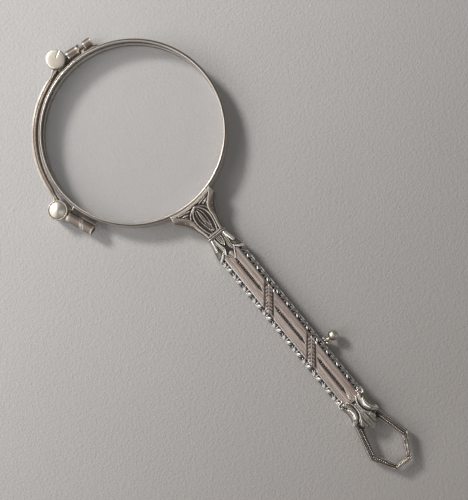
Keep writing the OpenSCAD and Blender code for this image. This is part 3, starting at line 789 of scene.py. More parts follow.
@dataclass(frozen=True)
class MetalFinish:
    """One worked metal surface."""

    name: str
    metal: tuple[float, float, float]
    tarnish: tuple[float, float, float]
    bare: tuple[float, float, float] = (0.84, 0.80, 0.755)
    amount: float = 1.0
    blotches: float = 0.5
    polish: float = 0.25
    satin: float = 0.42
    dull: float = 0.55
    scratch: float = 0.25
    grain: float = 0.0
    tint: tuple[float, float, float] = (0.62, 0.5, 0.44)

    def build(self, groups: FinishGroups) -> bpy.types.Material:
        """Makes the material.

        Args:
            groups: The shared node groups.

        Returns:
            The new material.
        """
        material, bench = new_material(self.name)
        values = {key.title(): getattr(self, key) for key in ("amount", "blotches", "polish", "satin",
                                                              "dull")}
        values |= {key.title(): (*getattr(self, key), 1.0) for key in ("metal", "tarnish", "bare")}
        patina = bench.node("Group", values, node_tree=groups.patina)
        marks = bench.node("Group", node_tree=groups.scratches)
        colour = patina.outputs["Colour"]
        height = marks.outputs["Height"]
        if self.grain > 0:
            brushed = bench.node("Group", node_tree=groups.grain)
            clean = bench.math("SUBTRACT", 1.0, patina.outputs["Dirt_and_shade"])
            clean = bench.math("MULTIPLY", clean, bench.math("SUBTRACT", 1.0, patina.outputs["Rubbed_and_sheen"]))
            share = bench.math("MULTIPLY", bench.ramp(brushed.outputs["Value"], 0.43, 0.57), clean)
            colour = bench.blend(share, colour, (*self.tint, 1.0))
            height = bench.math("MULTIPLY_ADD", brushed.outputs["Height"], self.grain, height)
        bump = bench.node("Bump", {"Strength": self.scratch, "Distance": 2e-6, "Height": height})
        rough = patina.outputs["Roughness"]
        metallic = bench.math("MULTIPLY_ADD", patina.outputs["Dirt_and_shade"], -0.45, 1.0)
        shader = bench.node("BsdfPrincipled", {"Base Color": colour, "Roughness": rough,
                                               "Metallic": metallic, "Normal": bump.outputs[0]})
        bench.node("OutputMaterial", {"Surface": shader.outputs[0]})
        return material


@dataclass(frozen=True)
class GlassFinish:
    """Old ground glass with faint smears."""

    name: str = "lens_glass"
    tint: tuple[float, float, float] = (0.99, 0.988, 0.988)
    index: float = 1.5

    def build(self, groups: FinishGroups) -> bpy.types.Material:
        """Makes the material, which lets light through to the floor.

        Args:
            groups: The shared node groups, whose scratches it uses.

        Returns:
            The new material.
        """
        material, bench = new_material(self.name)
        place = bench.node("TexCoord").outputs["Object"]
        smear = bench.noise(place, 160.0, 6.0, 0.7)
        rough = bench.ramp(smear, 0.45, 0.8, 0.0, 0.06)
        marks = bench.node("Group", node_tree=groups.scratches)
        bump = bench.node("Bump", {"Strength": 0.03, "Distance": 1e-6, "Height": marks.outputs[0]})
        shader = bench.node("BsdfPrincipled", {"Base Color": (*self.tint, 1.0), "Roughness": rough,
                                               "IOR": self.index, "Transmission Weight": 0.975,
                                               "Normal": bump.outputs[0]})
        clear = bench.node("BsdfTransparent", {"Color": (*self.tint, 1.0)})
        rays = bench.node("LightPath")
        passing = bench.math("MAXIMUM", rays.outputs["Is Shadow Ray"], rays.outputs["Is Diffuse Ray"])
        mixed = bench.node("MixShader", {0: passing, 1: shader.outputs[0], 2: clear.outputs[0]})
        bench.node("OutputMaterial", {"Surface": mixed.outputs[0]})
        return material


@dataclass(frozen=True)
class FloorFinish:
    """The pale matt floor, its colour painted lighter on the lamps' side and darker away from them as
    painted lamp falloff.
    """

    name: str = "pale_floor"
    painted_lit_colour: tuple[float, float, float] = (0.52, 0.51, 0.502)
    painted_falloff_colour: tuple[float, float, float] = (0.34, 0.318, 0.304)
    reach: float = 0.075

    def build(self) -> bpy.types.Material:
        """Makes the material."""
        material, bench = new_material(self.name)
        place = bench.node("TexCoord").outputs["Object"]
        parts = bench.node("SeparateXYZ", {0: place})
        # Painted light: the colour runs from the lit side to the far side, standing in for the fall of the
        # lamps' light across the floor.
        along = bench.math("MULTIPLY", parts.outputs[1], -0.97)
        down = bench.math("MULTIPLY_ADD", parts.outputs[0], 0.25, along)
        share = bench.ramp(down, -self.reach, self.reach)
        cloud = bench.math("SUBTRACT", bench.noise(place, 55.0, 4.0), 0.5)
        share = bench.math("MULTIPLY_ADD", cloud, 0.12, share, clamp=True)
        colour = bench.blend(share, (*self.painted_lit_colour, 1.0), (*self.painted_falloff_colour, 1.0))
        pebble = bench.node("TexVoronoi", {"Vector": place, "Scale": 2300.0, "Randomness": 0.9})
        crease = bench.noise(place, 1800.0, 4.0, distortion=0.9)
        skin = bench.math("MULTIPLY_ADD", pebble.outputs["Distance"], 0.5, crease)
        bump = bench.node("Bump", {"Strength": 0.85, "Distance": 1.3e-4, "Height": skin})
        shader = bench.node("BsdfPrincipled", {"Base Color": colour, "Roughness": 0.75,
                                               "Normal": bump.outputs[0], "Specular IOR Level": 0.1})
        bench.node("OutputMaterial", {"Surface": shader.outputs[0]})
        return material


@dataclass
class Finishes:
    """All finishes of the object, by slot."""

    groups: FinishGroups = field(default_factory=FinishGroups)
    made: dict[Slot, bpy.types.Material] = field(default_factory=dict)

    def __post_init__(self) -> None:
        """Makes each slot's material."""
        # The tarnish colour serves real patina and the painted shade; the bare colours serve wear and the
        # painted highlights.
        dark = (0.032, 0.026, 0.023)
        looks = {Slot.POLISHED: MetalFinish("polished_silver", (0.60, 0.545, 0.47), dark,
                                            (0.92, 0.89, 0.83), blotches=0.7, polish=0.24, satin=0.32),
                 Slot.AGED: MetalFinish("aged_silver", (0.30, 0.25, 0.213), dark, (0.66, 0.60, 0.535),
                                        blotches=0.9, polish=0.33, satin=0.42, dull=0.55),
                 Slot.BRUSHED: MetalFinish("brushed_silver", (0.59, 0.505, 0.45), dark, (0.52, 0.515, 0.5),
                                           polish=0.34, satin=0.42, dull=0.55, scratch=0.5, grain=1.6,
                                           tint=(0.32, 0.235, 0.198)),
                 Slot.DARK: MetalFinish("dark_silver", (0.16, 0.14, 0.125), dark, (0.42, 0.38, 0.34),
                                        blotches=1.2, polish=0.3, satin=0.4),
                 Slot.SPRING: MetalFinish("spring_steel", (0.42, 0.42, 0.43), dark, blotches=0.4,
                                          polish=0.25), }
        for slot, finish in looks.items():
            self.made[slot] = finish.build(self.groups)
        self.made[Slot.GLASS] = GlassFinish().build(self.groups)


@dataclass
class SubAssembly:
    """What every sub-assembly shares: its place in the frame and its finishes."""

    origin: Array
    finishes: Finishes

    def fit(self, solid: Solid, name: str, body: Body, slot: Slot, nodes: Sequence[str],
            crease: float = 38.0, spread: float = 0.05) -> None:
        """Builds a piece and sets it into the frame.

        Args:
            solid: The piece's faces.
            name: The piece's name.
            body: The body that it rides on.
            slot: The slot that it takes its finish from.
            nodes: The CAD nodes that it stands for.
            crease: The angle in degrees above which an edge stays sharp.
            spread: The bulge in millimetres that counts as fully worn or fully hollow.
        """
        piece = solid.build(name, self.origin, crease, spread)
        piece.data.materials.append(self.finishes.made[slot])
        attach(piece, body.value)
        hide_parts(*nodes)
        log.info("%s: %d points on %s", name, len(piece.data.vertices), body.value)

    def dress(self, node: str, slot: Slot) -> None:
        """Gives a CAD node that stays its material."""
        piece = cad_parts[node]
        piece.data.materials.clear()
        piece.data.materials.append(self.finishes.made[slot])
        log.info("%s: kept, in %s", node, slot.value)


@dataclass
class Lenses(SubAssembly):
    """The two thin rims and the glass in them."""

    thick: float = 2.3
    rear_z: float = 0.0
    front_z: float = 2.5
    groove: float = 18.8
    glass_radius: float = 18.76
    glass_edge: float = 0.9
    glass_rise: float = 0.14

    def rim(self) -> Array:
        """Returns the rim's section, with a fine line engraved in its face."""
        low, high, top = self.thick / 2 - 0.46, self.thick / 2 + 0.46, self.thick
        return rounded([(RIM_INNER, 0, 0.07), (18.74, 0, 0.02), (18.78, 0.05, 0.02), (18.82, 0, 0.02),
                        (RIM_RADIUS, 0.04, 0.14), (RIM_RADIUS, top - 0.1, 0.1), (18.86, top - 0.03, 0.03),
                        (18.81, top - 0.1, 0.02), (18.76, top, 0.08), (RIM_INNER, top, 0.12),
                        (RIM_INNER, high, 0.02), (self.groove, high, 0), (self.groove, low, 0),
                        (RIM_INNER, low, 0.02)], steps=3)

    def rim_shade(self, section: Array) -> Array:
        """Gives the tone along the rim's section: patina in the engraved line, bare on the inner bead, and
        darker on the outer slope and wall.
        """
        radius, height = section[:, 0], section[:, 1]
        upper = height > self.thick * 0.9
        bead = upper & (radius < 18.77)
        line = upper & (radius > 18.78) & (radius < 18.85)
        outer = (radius > 18.85) & ~line
        return np.where(line, 1.0, np.where(bead, -0.8, np.where(outer, 0.7, 0.15)))

    def glass(self) -> Array:
        """Returns the lens section from its upper middle to its lower middle."""
        free = RIM_INNER - 0.1
        radius = np.linspace(0, free, 20)
        rise = self.glass_edge / 2 + self.glass_rise * (1 - (radius / free) ** 2)
        upper = np.vstack([np.stack([radius, rise], 1), [[self.glass_radius, self.glass_edge / 2]]])
        return np.vstack([upper, upper[::-1] * np.array([1, -1])])

    def build(self) -> None:
        """Builds both rims and both lenses."""
        sides = (("front", self.front_z, Body.ROOT), ("rear", self.rear_z, Body.REAR_FRAME))
        for side, low, body in sides:
            section = self.rim()
            rim = Solid().lathe(section, (0, 0, low), 240, closed=True, shade=self.rim_shade(section))
            self.fit(rim, side + "_rim_ring", body, Slot.AGED, [side + "_rim"], spread=0.03)
            lens = Solid().lathe(self.glass(), (0, 0, low + self.thick / 2), 160)
            self.fit(lens, side + "_lens_glass", body, Slot.GLASS, [side + "_lens"])


@dataclass(frozen=True)
class Hinge:
    """One hinge's own frame: the boss towards -x, the rim towards -y."""

    angle: float
    turned: bool
    reach: float = 21.2
    boss_back: float = 5.3

    def place(self, points: Array) -> Array:
        """Turns points of the hinge's frame into points from the lens centre.

        Args:
            points: The points in the hinge's frame.

        Returns:
            The points from the lens centre.
        """
        local = points * (np.array([1, 1, -1]) if self.turned else np.array([-1, 1, 1]))
        turn = math.radians(self.angle - 90)
        x = local[:, 0] * math.cos(turn) - local[:, 1] * math.sin(turn)
        y = local[:, 0] * math.sin(turn) + local[:, 1] * math.cos(turn)
        return np.stack([x, y, local[:, 2] + MID_Z], 1)

    @property
    def boss(self) -> Array:
        """The boss's centre from the lens centre."""
        return self.place(np.array([[-self.boss_back, self.reach, 0.0]]))[0]


HINGES = {"front": Hinge(201, False), "rear": Hinge(83, True)}


@dataclass
class Bridge(SubAssembly):
    """The curved bar and its two bosses with their caps and slotted heads; the pins and knuckles that the
    bridge carries are built with the hinge barrels.
    """

    bar_radius: float = 20.4
    bar_width: float = 1.0
    bar_height: float = 2.4
    boss_radius: float = 2.05
    boss_half: float = 2.2
    dome: float = 0.5
    head: float = 0.35
    slot_angle: float = 35.0

    def bar(self) -> Solid:
        """Builds the bar, which follows the rims and widens into each boss."""
        rear, front = HINGES["rear"].boss, HINGES["front"].boss
        start = math.degrees(math.atan2(rear[1], rear[0]))
        end = math.degrees(math.atan2(front[1], front[0])) % 360
        reach = math.hypot(front[0], front[1])
        angle = np.linspace(start + 1.6, end - 1.6, 150)
        gap = np.minimum(angle - start, end - angle)
        out = np.clip(1 - gap / 13, 0, 1) ** 2
        slim = 0.18 * np.exp(-(((gap - 9) / 3) ** 2))
        line = self.bar_radius + (reach - self.bar_radius) * out
        half = self.bar_width * (0.5 - slim + 0.9 * out**1.5)
        rise = self.bar_height / 2 - 0.12 * np.exp(-(((gap - 9) / 2.5) ** 2))
        section = rounded([(1, 1, 0), (1, -1, 0), (-1, -1, 0), (-1, 1, 0)])
        loop = []
        for (ax, az), (bx, bz) in zip(section, np.roll(section, -1, axis=0)):
            for t in np.linspace(0, 1, 12, endpoint=False):
                x, z = ax + (bx - ax) * t, az + (bz - az) * t
                loop.append((x * math.sqrt(1 - z * z * 0.30), z * math.sqrt(1 - x * x * 0.16)))
        loop = np.array(loop)
        crest = 1 - 0.05 * np.exp(-(((loop[:, 0] + 0.3) / 0.16) ** 2))
        radius = line[:, None] + half[:, None] * loop[None, :, 0]
        height = MID_Z + rise[:, None] * (loop[:, 1] * crest)[None, :]
        turn = np.radians(angle)[:, None]
        surface = np.stack([radius * np.cos(turn), radius * np.sin(turn), height], 2)
        return Solid().grid(surface, wrap=(False, True), caps=True)

    def boss_body(self, hinge: Hinge) -> Solid:
        """Builds a boss's turned body with a fine moulding at each end."""
        low, high = -self.boss_half + self.head + 0.01, self.boss_half - self.dome - 0.01
        r = self.boss_radius
        moulding = ((r - 0.06, 0, 0.03), (r, 0.08, 0.03), (r, 0.3, 0.03), (r - 0.07, 0.36, 0.02),
                    (r - 0.07, 0.44, 0.02), (r, 0.5, 0.03))
        lower = [(x, low + up, soft) for x, up, soft in moulding]
        upper = [(x, high - up, soft) for x, up, soft in moulding[::-1]]
        profile = rounded([(0, low, 0), *lower, *upper, (0, high, 0)], closed=False)
        solid = Solid().lathe(profile, (-hinge.boss_back, hinge.reach, 0), 72)
        return solid.moved(hinge.place)

    def cap(self, hinge: Hinge) -> Solid:
        """Builds the domed cap with its beaded edge."""
        r, top = self.boss_radius, self.dome
        edge = rounded([(0, 0, 0), (r, 0, 0.02), (r, 0.2, 0.08), (r - 0.26, 0.2, 0.06),
                        (r - 0.3, 0.12, 0.02)], closed=False)
        reach = r - 0.34
        rise = top - 0.12
        dome = [(q, 0.12 + rise * (0.86 * (1 - (q / reach) ** 2) + 0.14 * math.exp(-((q / 0.5) ** 2))))
                for q in np.linspace(reach, 0, 22)]
        profile = np.vstack([edge, dome])
        base = self.boss_half - self.dome
        shade = np.where(profile[:, 1] < 0.14, 0.8, 0.12)
        solid = Solid().lathe(profile, (-hinge.boss_back, hinge.reach, base), 72, shade=shade)
        return solid.moved(hinge.place)

    def screw(self, hinge: Hinge) -> Solid:
        """Builds the flat head with its softened rim and a worn half slot."""
        plan = Plan(arc((0, 0), self.boss_radius - 0.08, 0, 360, 72)[:-1], spacing=0.1)
        turn = math.radians(self.slot_angle)
        relief = Relief(plan.x, plan.y)
        across = np.abs(plan.y * math.cos(turn) - plan.x * math.sin(turn))
        along = plan.x * math.cos(turn) + plan.y * math.sin(turn)
        relief.over -= 0.05 * (1 - smoothstep(across, 0.03, 0.09)) * smoothstep(along, 0.2, 0.5)
        dish = 0.05 * (np.hypot(plan.x, plan.y) / 2) ** 4
        face = -(self.boss_half - plan.edge_drop(0.12) - dish + relief.over)
        solid = Solid().plate(plan, face, np.full(len(plan.x), -self.boss_half + self.head), relief.shade())
        shift = np.array([-hinge.boss_back, hinge.reach, 0.0])
        return solid.moved(lambda p: hinge.place(p + shift))

    def build(self) -> None:
        """Builds the bridge's pieces."""
        self.fit(self.bar(), "bridge_curved_bar", Body.BRIDGE, Slot.AGED, ["bridge_bar"])
        for side, hinge in HINGES.items():
            self.fit(self.boss_body(hinge), side + "_boss_body", Body.BRIDGE, Slot.AGED, [side + "_boss"])
            self.fit(self.cap(hinge), side + "_boss_dome", Body.BRIDGE, Slot.POLISHED, [side + "_boss_cap"])
            self.fit(self.screw(hinge), side + "_boss_slotted_head", Body.BRIDGE, Slot.POLISHED,
                     [side + "_boss_screw"])


@dataclass
class HingeBarrels(SubAssembly):
    """The barrels on the rims' leaves, and the short knuckles that close them."""

    radius: float = 1.05
    bore: float = 0.39
    chamber: float = 0.8
    bearing: float = 0.4
    rise: float = 0.625
    start: float = -3.15
    free_end: float = 2.8
    seam: float = 0.13
    slant: float = 0.67
    gap: float = 0.1
    leaf_low: float = 0.205
    leaf_thick: float = 0.6

    def sleeve(self, length: float, through: bool) -> tuple[Array, Array]:
        """Builds a sleeve whose slanted end lies at x = 0 and whose plain end lies at x = -length.

        Above the pin the end is cut on the slant, and below it as a cone, so that two such ends pass.

        Args:
            length: The sleeve's length at its axis.
            through: Whether the bore runs through, with a chamber for the spring.

        Returns:
            The points by row and column, and the patina of each.
        """
        upper = np.linspace(0.03, np.pi, 27)
        angle = np.concatenate([upper, np.linspace(np.pi, 2 * np.pi - 0.03, 27)[1:]])
        lean = np.where(angle <= np.pi, np.cos(angle), -1.0)
        r = self.radius
        rows: list[tuple[float, float, float]] = []
        if through:
            rows += [(0.0, self.bore, -length), (0.0, r - 0.05, -length)]
        else:
            rows += [(0.0, 0.001, 0.08 - length), (0.0, r - 0.3, 0.08 - length), (0.0, r - 0.24, -length),
                     (0.0, r - 0.06, -length)]
        rows += [(0.0, r, 0.06 - length)]
        rows += [(share, r, 0.06 - length) for share in np.linspace(0.12, 0.88, 7)]
        rows += [(0.94, r, -0.05), (1.0, r - 0.04, 0.0), (1.0, r * 0.7, 0.0), (1.0, self.bore, 0.0)]
        if through:
            inner = -self.slant * r - self.bearing
            far = self.bearing - length
            rows += [(0.0, self.bore, inner), (0.0, self.chamber, inner), (0.0, self.chamber, far),
                     (0.0, self.bore, far)]
        else:
            rows += [(0.0, self.bore, 0.45 - length), (0.0, 0.001, 0.45 - length)]
        sheet = []
        for share, radius, at in rows:
            slanted = self.slant * radius * lean
            if 0 < share < 1:
                x = at + (slanted - 0.05 - at) * share
            else:
                x = at + slanted * share
            x = x * np.ones_like(angle)
            sheet.append(np.stack([x, radius * np.cos(angle), radius * np.sin(angle)], 1))
        tones = [1.0 if share > 0.99 else 0.7 if share > 0.9 else 0.3 for share, _, _ in rows]
        return np.array(sheet), np.repeat(tones, len(angle)).reshape(len(rows), -1)

    def barrel(self, hinge: Hinge) -> Solid:
        """Builds the barrel that belongs to a rim."""
        sheet, shade = self.sleeve(self.seam - self.start, True)
        sheet = sheet + np.array([self.seam, hinge.reach, self.rise])
        return Solid().grid(sheet, shade, wrap=(True, True)).moved(hinge.place)

    def knuckle(self, hinge: Hinge) -> Solid:
        """Builds the short knuckle on the bridge's pin, with a sunk end."""
        sheet, shade = self.sleeve(self.free_end - self.seam - self.gap, False)
        sheet = sheet * np.array([-1, -1, 1]) + np.array([self.seam + self.gap, hinge.reach, self.rise])
        shade[:2] = 0.8
        return Solid().grid(sheet, shade, wrap=(False, True), caps=True).moved(hinge.place)

    def leaf(self, hinge: Hinge) -> Solid:
        """Builds the leaf between a rim and its barrel, heavily tarnished on both faces as painted shade
        for the shadow it lies in.
        """
        left, seam = self.start + 0.02, self.seam - self.slant * self.radius
        clear, under = hinge.reach - self.radius - self.gap, hinge.reach - self.radius * 0.7
        x = np.linspace(left, self.free_end, 24)
        edge = np.stack([x, np.sqrt((RIM_RADIUS + 0.03) ** 2 - x**2)], 1)
        outer = [(self.free_end, clear, 0.15), (seam, clear, 0.05), (seam, under, 0.0), (left, under, 0.1)]
        plan = Plan(np.vstack([edge, rounded(outer, closed=False)]), spacing=0.14)
        drop = plan.edge_drop(0.1)
        top = self.leaf_low + self.leaf_thick - drop
        # Painted shade: both faces take heavy patina to stand in for the shadow between rim and barrel.
        solid = Solid().plate(plan, top, self.leaf_low + drop, 0.75, 0.75)
        return solid.moved(hinge.place)

    def build(self) -> None:
        """Builds both hinges and dresses the pins and springs inside them."""
        for (side, hinge), body in zip(HINGES.items(), (Body.ROOT, Body.REAR_FRAME)):
            node = side + "_hinge_leaf"
            self.fit(self.barrel(hinge), side + "_hinge_barrel", body, Slot.AGED, [node])
            # The leaf plate takes the dark finish as painted shade.
            self.fit(self.leaf(hinge), side + "_hinge_leaf_plate", body, Slot.DARK, [node])
            self.fit(self.knuckle(hinge), side + "_end_knuckle_sleeve", Body.BRIDGE, Slot.AGED,
                     [side + "_end_knuckle"])
            self.dress(side + "_hinge_pin", Slot.DARK)
            self.dress(side + "_hinge_spring", Slot.SPRING)


@dataclass
class Yoke(SubAssembly):
    """The fan-shaped clasp in two halves, with its almond ornament, and the band round its neck."""

    tip_half: float = 5.2
    tip_y: float = -20.04
    neck_y: float = -26.6
    neck_half: float = 2.05
    lap_radius: float = 19.0
    top: float = 5.1
    shoulder: float = 1.35
    channel_half: float = 0.8
    rod_depth: float = 0.41
    band_low: float = 0.42

    def flank(self) -> Array:
        """Returns the hollow line of the clasp's right side."""
        return bezier([(self.tip_half, self.tip_y), (self.neck_half + 0.75, self.tip_y - 2.2),
                       (self.neck_half, self.neck_y)], 20)

    def silhouette(self, rim: float, notch: Optional[float] = None) -> Array:
        """Returns the clasp's outline.

        Args:
            rim: The radius of its hollow upper edge.
            notch: Half of the width of the opening for the catch, where there is one.

        Returns:
            The outline's points.
        """
        corner_x = self.tip_half - 0.22
        corner = -math.sqrt(rim**2 - corner_x**2)
        half = [(corner_x, corner), (self.tip_half - 0.2, self.tip_y + 1.2), *map(tuple, self.flank()),
                (0, self.neck_y)]
        start = math.degrees(math.atan2(corner, corner_x))
        first = math.degrees(math.acos((notch or 0) / rim)) * -1
        top = [tuple(p) for p in arc((0, 0), rim, first, start, 24)][:-1]
        if notch:
            top = [(0, -21.0), (notch, -21.0)] + top
        return both_sides(top + half)

    @staticmethod
    def face_edge() -> Array:
        """Returns the line where the ornament's face turns down to the side, on the right."""
        return flowing([(5.02, -18.4), (5.1, -19.5), (3.75, -20.45), (2.75, -21.5), (2.4, -22.5),
                        (2.28, -23.7), (1.95, -24.9), (1.72, -26.0), (1.7, -26.6)])

    def slope(self, plan: Plan) -> Array:
        """Gives how far the side falls below the face at each plan point."""
        right = self.face_edge()
        x = np.abs(plan.x)
        to_face, _ = distance_along(x, plan.y, right)
        to_side, _ = distance_along(x, plan.y, self.flank())
        region = np.vstack([right, [(0, -26.6), (0, -18.0), (5.02, -18.0)]])
        outer = ~inside(np.stack([x, plan.y], 1), [region])
        share = to_face / np.maximum(to_face + to_side, 1e-6)
        return np.where(outer, self.shoulder * share**1.2, 0)

    def ornament(self, plan: Plan) -> Relief:
        """Chases the ornament: a rimmed field with an almond between two leafy corners."""
        relief = Relief(plan.x, plan.y, -0.3)
        face = self.face_edge()
        upper = arc((0, 0), 19.5, -90, -77.5, 10)
        sunk = [*map(tuple, upper), (4.35, -19.15), (3.35, -20.1), (2.35, -21.2), (2.0, -22.3),
                (1.9, -23.7), (1.6, -24.9), (1.38, -26.3), (0, -26.3)]
        relief.sink(both_sides(sunk), -relief.ground, 0.16)
        for flip in (False, True):
            side = partial(stroke, flip=flip)
            relief.rib(side([(0.1, -19.75), (0.9, -20.25), (1.6, -20.75), (2.1, -21.5), (2.2, -22.2)]),
                       0.17, -0.06)
            relief.rib(side([(0.08, -19.85), (0.85, -20.6), (1.42, -21.6), (1.6, -22.8), (1.42, -24.2),
                             (1.1, -25.4), (0.75, -26.3)]), 0.2, 0.02)
            relief.rib(side([(0.03, -20.0), (0.42, -20.75), (0.7, -21.6), (0.8, -22.6), (0.64, -24.0),
                             (0.36, -25.0), (0.1, -25.8)]), 0.13, -0.02)
            for root, tip, half in (((1.0, -19.95), (4.0, -19.35), 0.2),
                                    ((1.75, -20.45), (3.6, -19.95), 0.18),
                                    ((2.25, -21.1), (3.2, -20.35), 0.17)):
                ends = [(-root[0], root[1]), (-tip[0], tip[1])] if flip else [root, tip]
                relief.leaf(ends[0], ends[1], half, -0.08, 0.07, 0.12 if flip else -0.12)
            relief.bead(((-1 if flip else 1) * 2.62, -20.62), 0.16, -0.06)
            relief.rib(side([(0.05, -23.3), (0.3, -24.1), (0.42, -25.2), (0.3, -26.1)]), 0.1, -0.08)
        relief.leaf((0, -25.6), (0, -20.6), 0.4, -0.12, 0.1)
        relief.bead((-0.62, -24.1), 0.17, 0.0)
        relief.bead((0, -19.9), 0.22, 0.0)
        relief.groove(face, 0.07, 0.05)
        relief.groove(mirrored(face), 0.07, 0.05)
        relief.groove(arc((0, 0), 19.44, -104.5, -75.5, 40), 0.06, 0.06)
        relief.ground = 0.0
        for sign in (-1, 1):
            relief.bead((sign * 3.35, -21.35), 0.17, 0.14)
            relief.bead((sign * 2.86, -22.3), 0.14, 0.12)
            relief.groove(flowing([(sign * 4.6, -20.6), (sign * 3.2, -22.0), (sign * 2.55, -23.6),
                                   (sign * 2.2, -25.6)]), 0.08, 0.06)
        return relief

    def mouth(self, y: Array) -> Array:
        """Gives half the height of the slot that lets the rear rim out."""
        return 0.01 + np.clip((y + 23.4) / 4.3, 0, 1) * 0.63

    def front_half(self) -> Solid:
        """Builds the front half, which laps over the front rim."""
        lap = np.vstack([arc((0, 0), r, -106, -74, 90) for r in (19.05, 19.11, 19.15)])
        plan = Plan(self.silhouette(self.lap_radius), spacing=0.085, extra=lap)
        relief = self.ornament(plan)
        slope = self.slope(plan)
        top = self.top - slope - plan.edge_drop(0.1) + relief.over
        channel = np.where(np.abs(plan.x) < self.channel_half, self.rod_depth, 0.0)
        low = MID_Z + np.maximum(self.mouth(plan.y), channel)
        radius = np.hypot(plan.x, plan.y)
        bottom = np.where(radius < 19.13, FRONT_Z + 0.012, low)
        # Painted shade: the sloped sides are tarnished darker the further they fall from the face.
        shade = relief.shade(-0.06, 0.3, 0.04) + smoothstep(slope, 0.15, 0.9) * 0.5
        # Painted highlight: the strip over the rim's edge is bared bright, partly as wear.
        shade = np.where((radius > 19.12) & (radius < 19.42), -0.6, np.clip(shade, -0.4, 1))
        return Solid().plate(plan, top, bottom, shade)

    def back_half(self) -> Solid:
        """Builds the back half, cut away for the rear rim and the catch."""
        plan = Plan(self.silhouette(RIM_RADIUS + 0.3, 1.0), spacing=0.1)
        relief = Relief(plan.x, plan.y)
        for sign in (-1, 1):
            relief.ground = -0.14
            line = stroke([(1.2, -21.4), (1.75, -22.6), (1.7, -24.2), (1.3, -26.2)], sign < 0)
            relief.rib(line, 0.2, 0.0)
            edge = self.face_edge()[6:] * np.array([sign * 0.97, 1])
            relief.groove(edge, 0.09, 0.08)
            relief.ground = -0.06
            relief.leaf((sign * 1.9, -21.2), (sign * 4.3, -20.0), 0.34, 0.0, 0.06, 0.1 * sign)
        rise = self.slope(plan) * 0.75 + plan.edge_drop(0.1) - np.minimum(relief.over, 0)
        over_channel = np.abs(plan.x) < self.channel_half
        low = np.where(over_channel, HOOK_CHANNEL, 0.01)
        pocket = over_channel & (plan.y > -25.8)
        low = np.where(pocket, MID_Z - 0.2, np.maximum(low, self.mouth(plan.y)))
        top = np.maximum(MID_Z - low, rise + 0.12)
        return Solid().plate(plan, rise, top, 0.3, relief.shade().mean())

    def band(self) -> Solid:
        """Builds the neck band: a thick round bead between two fine steps."""
        low, high, half, round_off = self.band_low, FRONT_Z - 0.14, self.neck_half - 0.02, 0.5
        corners = ((half, low), (half, high), (-half, high), (-half, low))
        section = resampled(rounded([(x, z, round_off) for x, z in corners], steps=8), 0.12)
        ahead = np.roll(section, -1, axis=0) - np.roll(section, 1, axis=0)
        out = np.stack([ahead[:, 1], -ahead[:, 0]], 1) / np.linalg.norm(ahead, axis=1)[:, None]
        length = self.neck_y - NECK_END
        along = np.linspace(0, 1, 25)
        bulge = 0.19 * np.clip(1 - ((along - 0.45) / 0.36) ** 2, 0, 1) ** 0.6
        bulge += 0.05 * ((along < 0.06) | (along > 0.9))
        ray = section - np.array([0, MID_Z])
        deep = np.where(ray[:, 1] > 0, ROD_CHANNEL, HOOK_CHANNEL)
        shrink = np.minimum(CHANNEL_HALF / np.maximum(np.abs(ray[:, 0]), 1e-6),
                            deep / np.maximum(np.abs(ray[:, 1]), 1e-6))
        bore = ray * shrink[:, None] + np.array([0, MID_Z])
        rings = [(t, section + out * b) for t, b in zip(along, bulge)] + [(1.0, bore), (0.0, bore)]
        rows = []
        for t, ring in rings:
            y = np.full(len(ring), self.neck_y - t * length)
            rows.append(np.stack([ring[:, 0], y, ring[:, 1]], 1))
        shade = np.repeat(np.append(np.clip(1.0 - bulge * 9, -0.5, 1), [1.0, 1.0]), len(section))
        return Solid().grid(np.array(rows), shade, wrap=(True, True))

    def build(self) -> None:
        """Builds the clasp and its neck band."""
        self.fit(self.front_half(), "yoke_front_clasp", Body.ROOT, Slot.AGED, ["yoke_front"], 50)
        self.fit(self.back_half(), "yoke_back_clasp", Body.ROOT, Slot.AGED, ["yoke_back"], 50)
        self.fit(self.band(), "neck_band_moulding", Body.ROOT, Slot.AGED, ["neck_band"])


